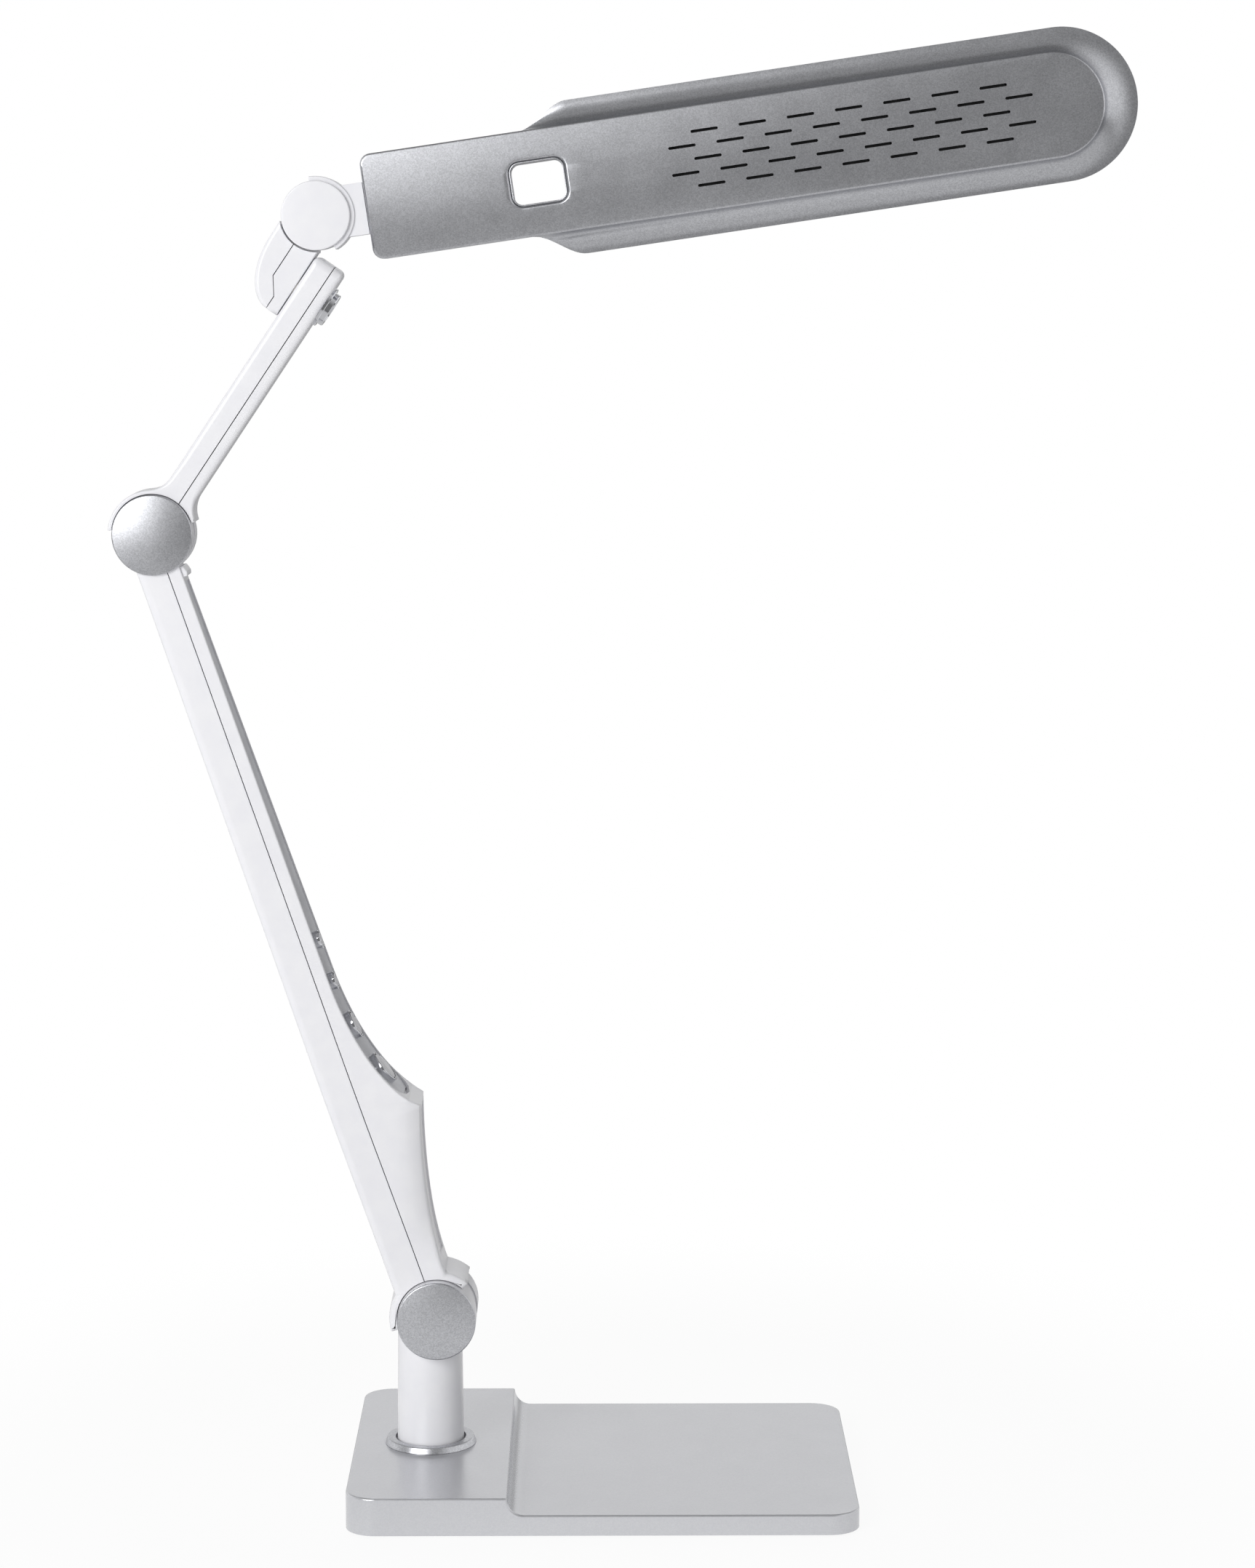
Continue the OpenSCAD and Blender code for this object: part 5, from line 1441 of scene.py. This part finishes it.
@dataclass
class Studio:
    """White studio with a soft lamp and the camera.

    Attributes:
        camera_at: Place of the camera in metres.
        pitch: How far the camera looks down, in radians.
        yaw: How far it looks to the right, in radians.
        focal: Focal length over the long side of the picture.
        sensor: Long side of the camera's sensor in millimetres.
        key_at: Place of the lamp in metres.
        key_aim: Place that the lamp faces, in metres.
        key_size: Length of the lamp's sides in metres.
        key_power: Power of the lamp in watts.
        floor_at: Middle of the floor's fading, in metres.
        floor_radius: Radius of the floor in metres.
        floor_drop: How far the floor lies under the lamp's pad, in metres.
        ramps: Ramps of the world's brightness by direction: name, source, where it starts and ends, first and
            last value, or the ramp that gives the last one.
        sums: How these are put together: name, operation and what it takes.
        fades: Ramps of the floor by distance: name, kind, where it starts and ends, first and last value.
    """

    camera_at: Triple = (0.0732, -1.633, 0.5286)
    pitch: float = 0.1349
    yaw: float = 0.0078
    focal: float = 5300 / 2156
    sensor: float = 36.0
    key_at: Triple = (-1.62, -2.9, 1.34)
    key_aim: Triple = (0.08, 0.0, 0.3)
    key_size: float = 2.0
    key_power: float = 74.0
    floor_at: Triple = (0.075, 0.0, 0.0)
    floor_radius: float = 4.0
    floor_drop: float = 0.0003
    ramps: tuple[tuple, ...] = (
        ("depth", "y", -0.6, 0.2, 0.2, 1.0), ("right", "x", 0.25, 0.75, 0.2, 1.0),
        ("darkest", "aside", 0.25, 0.6, 0.17, 0.6), ("ceiling", "z", 0.3, 0.7, 1.0, "darkest"),
        ("ahead", "y", 0.1, -0.3, 0.0, 0.3), ("above", "z", 0.35, 0.75, 0.0, 1.0),
        ("behind", "y", 0.8, 0.92, 0.0, 0.7), ("low", "z", 0.15, 0.06, 0.0, 1.0),
        ("soft", "y", 0.2, 0.7, 0.32, 0.95))
    sums: tuple[tuple[str, ...], ...] = (
        ("walls", "MAXIMUM", "depth", "right"), ("shade", "MULTIPLY", "walls", "ceiling"),
        ("glint", "MULTIPLY_ADD", "ahead", "above", "shade"), ("band", "MULTIPLY", "behind", "low"),
        ("lost", "MULTIPLY", "glint", "band"), ("mirrored", "SUBTRACT", "glint", "lost"),
        ("seen", "MAXIMUM", "Is Camera Ray", "Is Transmission Ray"))
    fades: tuple[tuple, ...] = (("away", "SMOOTHSTEP", 0.2, 0.45, 0.92, 1.0),
                                ("near", "LINEAR", 0.1, 0.35, 0.95, 0.66),
                                ("far", "LINEAR", 1.4, 2.3, 1.0, 0.25))

    def build(self) -> None:
        """Builds the studio."""
        for step in (self.backdrop, self.floor, self.key_softbox, self.camera):
            step()

    def camera(self) -> None:
        """Sets the camera at the photograph's viewing angle."""
        lens = bpy.data.cameras.new("camera")
        lens.sensor_fit = "AUTO"
        lens.sensor_width = self.sensor
        lens.lens = self.focal * self.sensor
        lens.clip_start = 0.05
        eye = bpy.data.objects.new("camera", lens)
        eye.location = self.camera_at
        eye.rotation_euler = (pi / 2 - self.pitch, 0, -self.yaw)
        bpy.context.scene.collection.objects.link(eye)
        bpy.context.scene.camera = eye
        LOG.info("camera set")

    def key_softbox(self) -> None:
        """Hangs a large square lamp that faces the middle of the object."""
        light = bpy.data.lights.new("key_softbox", "AREA")
        light.energy = self.key_power
        light.size = self.key_size
        lamp = bpy.data.objects.new("key_softbox", light)
        lamp.location = self.key_at
        aim = Vector(self.key_aim) - Vector(self.key_at)
        lamp.rotation_euler = aim.to_track_quat("-Z", "Y").to_euler()
        bpy.context.scene.collection.objects.link(lamp)
        LOG.info("softbox hung")

    def backdrop(self) -> None:
        """Makes the world white where it is seen and softer where it lights."""
        world = bpy.data.worlds.new("studio")
        bpy.context.scene.world = world
        world.use_nodes = True
        tree = world.node_tree
        tree.nodes.clear()
        value = dict(add_node(tree, "LightPath").outputs.items())
        way = add_node(tree, "SeparateXYZ", links={0: add_node(tree, "TexCoord").outputs["Generated"]})
        value.update(zip("xyz", way.outputs))
        value["aside"] = add_node(tree, "Math", {"operation": "ABSOLUTE"}, {0: value["x"]}).outputs[0]
        for name, source, start, end, first, last in self.ramps:
            settings = {"interpolation_type": "SMOOTHSTEP", "From Min": start, "From Max": end,
                        "To Min": first}
            links = {"Value": value[source]}
            if isinstance(last, str):
                links["To Max"] = value[last]
            else:
                settings["To Max"] = last
            value[name] = add_node(tree, "MapRange", settings, links).outputs[0]
        for name, operation, *parts in self.sums:
            links = {i: value[part] for i, part in enumerate(parts)}
            value[name] = add_node(tree, "Math", {"operation": operation}, links).outputs[0]
        lit = add_node(tree, "Mix", links={0: value["Is Glossy Ray"], 2: value["soft"], 3: value["mirrored"]})
        level = add_node(tree, "Mix", {3: 1.0}, {0: value["seen"], 2: lit.outputs[0]})
        glow = add_node(tree, "Background", {"Color": (1, 1, 1, 1)}, {"Strength": level.outputs[0]})
        add_node(tree, "OutputWorld", links={"Surface": glow.outputs[0]})

    def floor(self) -> None:
        """Lays a pale floor that runs out into the white of the backdrop."""
        bm = bmesh.new()
        bmesh.ops.create_circle(bm, cap_ends=True, segments=64, radius=self.floor_radius)
        bmesh.ops.translate(bm, verts=bm.verts, vec=(0, 0, -self.floor_drop))
        mesh = bpy.data.meshes.new("floor")
        bm.to_mesh(mesh)
        bm.free()
        floor = bpy.data.objects.new("floor", mesh)
        bpy.context.scene.collection.objects.link(floor)
        mesh.materials.append(self.paper())
        LOG.info("floor laid")

    def paper(self) -> bpy.types.Material:
        """Makes the floor's matt white paper, which glows where the camera or a mirror looks past the object.

        Returns:
            The material.
        """
        made = bpy.data.materials.new("white_seamless_paper")
        made.use_nodes = True
        tree = made.node_tree
        shader = tree.nodes["Principled BSDF"]
        shader.inputs["Base Color"].default_value = linear("#FAFAFA")
        shader.inputs["Roughness"].default_value = 0.8
        value = dict(add_node(tree, "LightPath").outputs.items())
        reach = add_node(tree, "VectorMath", {"operation": "DISTANCE", 1: self.floor_at},
                         {0: add_node(tree, "TexCoord").outputs["Object"]})
        for name, kind, start, end, first, last in self.fades:
            settings = {"interpolation_type": kind, "From Min": start, "From Max": end, "To Min": first,
                        "To Max": last}
            value[name] = add_node(tree, "MapRange", settings, {"Value": reach.outputs["Value"]}).outputs[0]
        for name, operation, *parts in (("fall", "MULTIPLY", "near", "far"),
                                        ("camera", "MULTIPLY", "Is Camera Ray", "away"),
                                        ("share", "MAXIMUM", "camera", "Is Glossy Ray")):
            links = {i: value[part] for i, part in enumerate(parts)}
            value[name] = add_node(tree, "Math", {"operation": operation}, links).outputs[0]
        strength = add_node(tree, "Mix", {2: 1.0}, {0: value["Is Glossy Ray"], 3: value["fall"]})
        glow = add_node(tree, "Emission", {"Color": (1, 1, 1, 1)}, {"Strength": strength.outputs[0]})
        blend = add_node(tree, "MixShader",
                         links={0: value["share"], 1: shader.outputs[0], 2: glow.outputs[0]})
        tree.links.new(blend.outputs[0], tree.nodes["Material Output"].inputs["Surface"])
        return made


def main() -> None:
    """Builds the lamp's sub-assemblies in order, then the studio round them."""
    logging.basicConfig(level=logging.INFO, format="%(message)s")
    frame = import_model()
    bpy.context.scene.view_settings.view_transform = "Standard"
    lamp = Lamp(frame["nodes"])
    joints = {joint["name"]: joint for joint in frame["joints"]}
    run = (Vector(joints["elbow_tilt"]["pos_m"]) - Vector(joints["lower_arm_tilt"]["pos_m"])) / MM
    lower = hinge_frame(joints["lower_arm_tilt"], atan2(run.x, run.z))
    across = joints["neck_swivel"]["axis"]
    upper = hinge_frame(joints["elbow_tilt"], atan2(across[2], -across[0]))
    along = joints["head_twist"]["axis"]
    head = hinge_frame(joints["head_tilt"], atan2(-along[2], along[0]))
    for part in (Base(), Post(lower), LowerArm(lower, hinge_frame(joints["elbow_tilt"], 0), run.length),
                 UpperArm(upper), Neck(upper), HeadYoke(head), Head(head)):
        part.build(lamp)
    Studio().build()


if __name__ == "__main__":
    main()
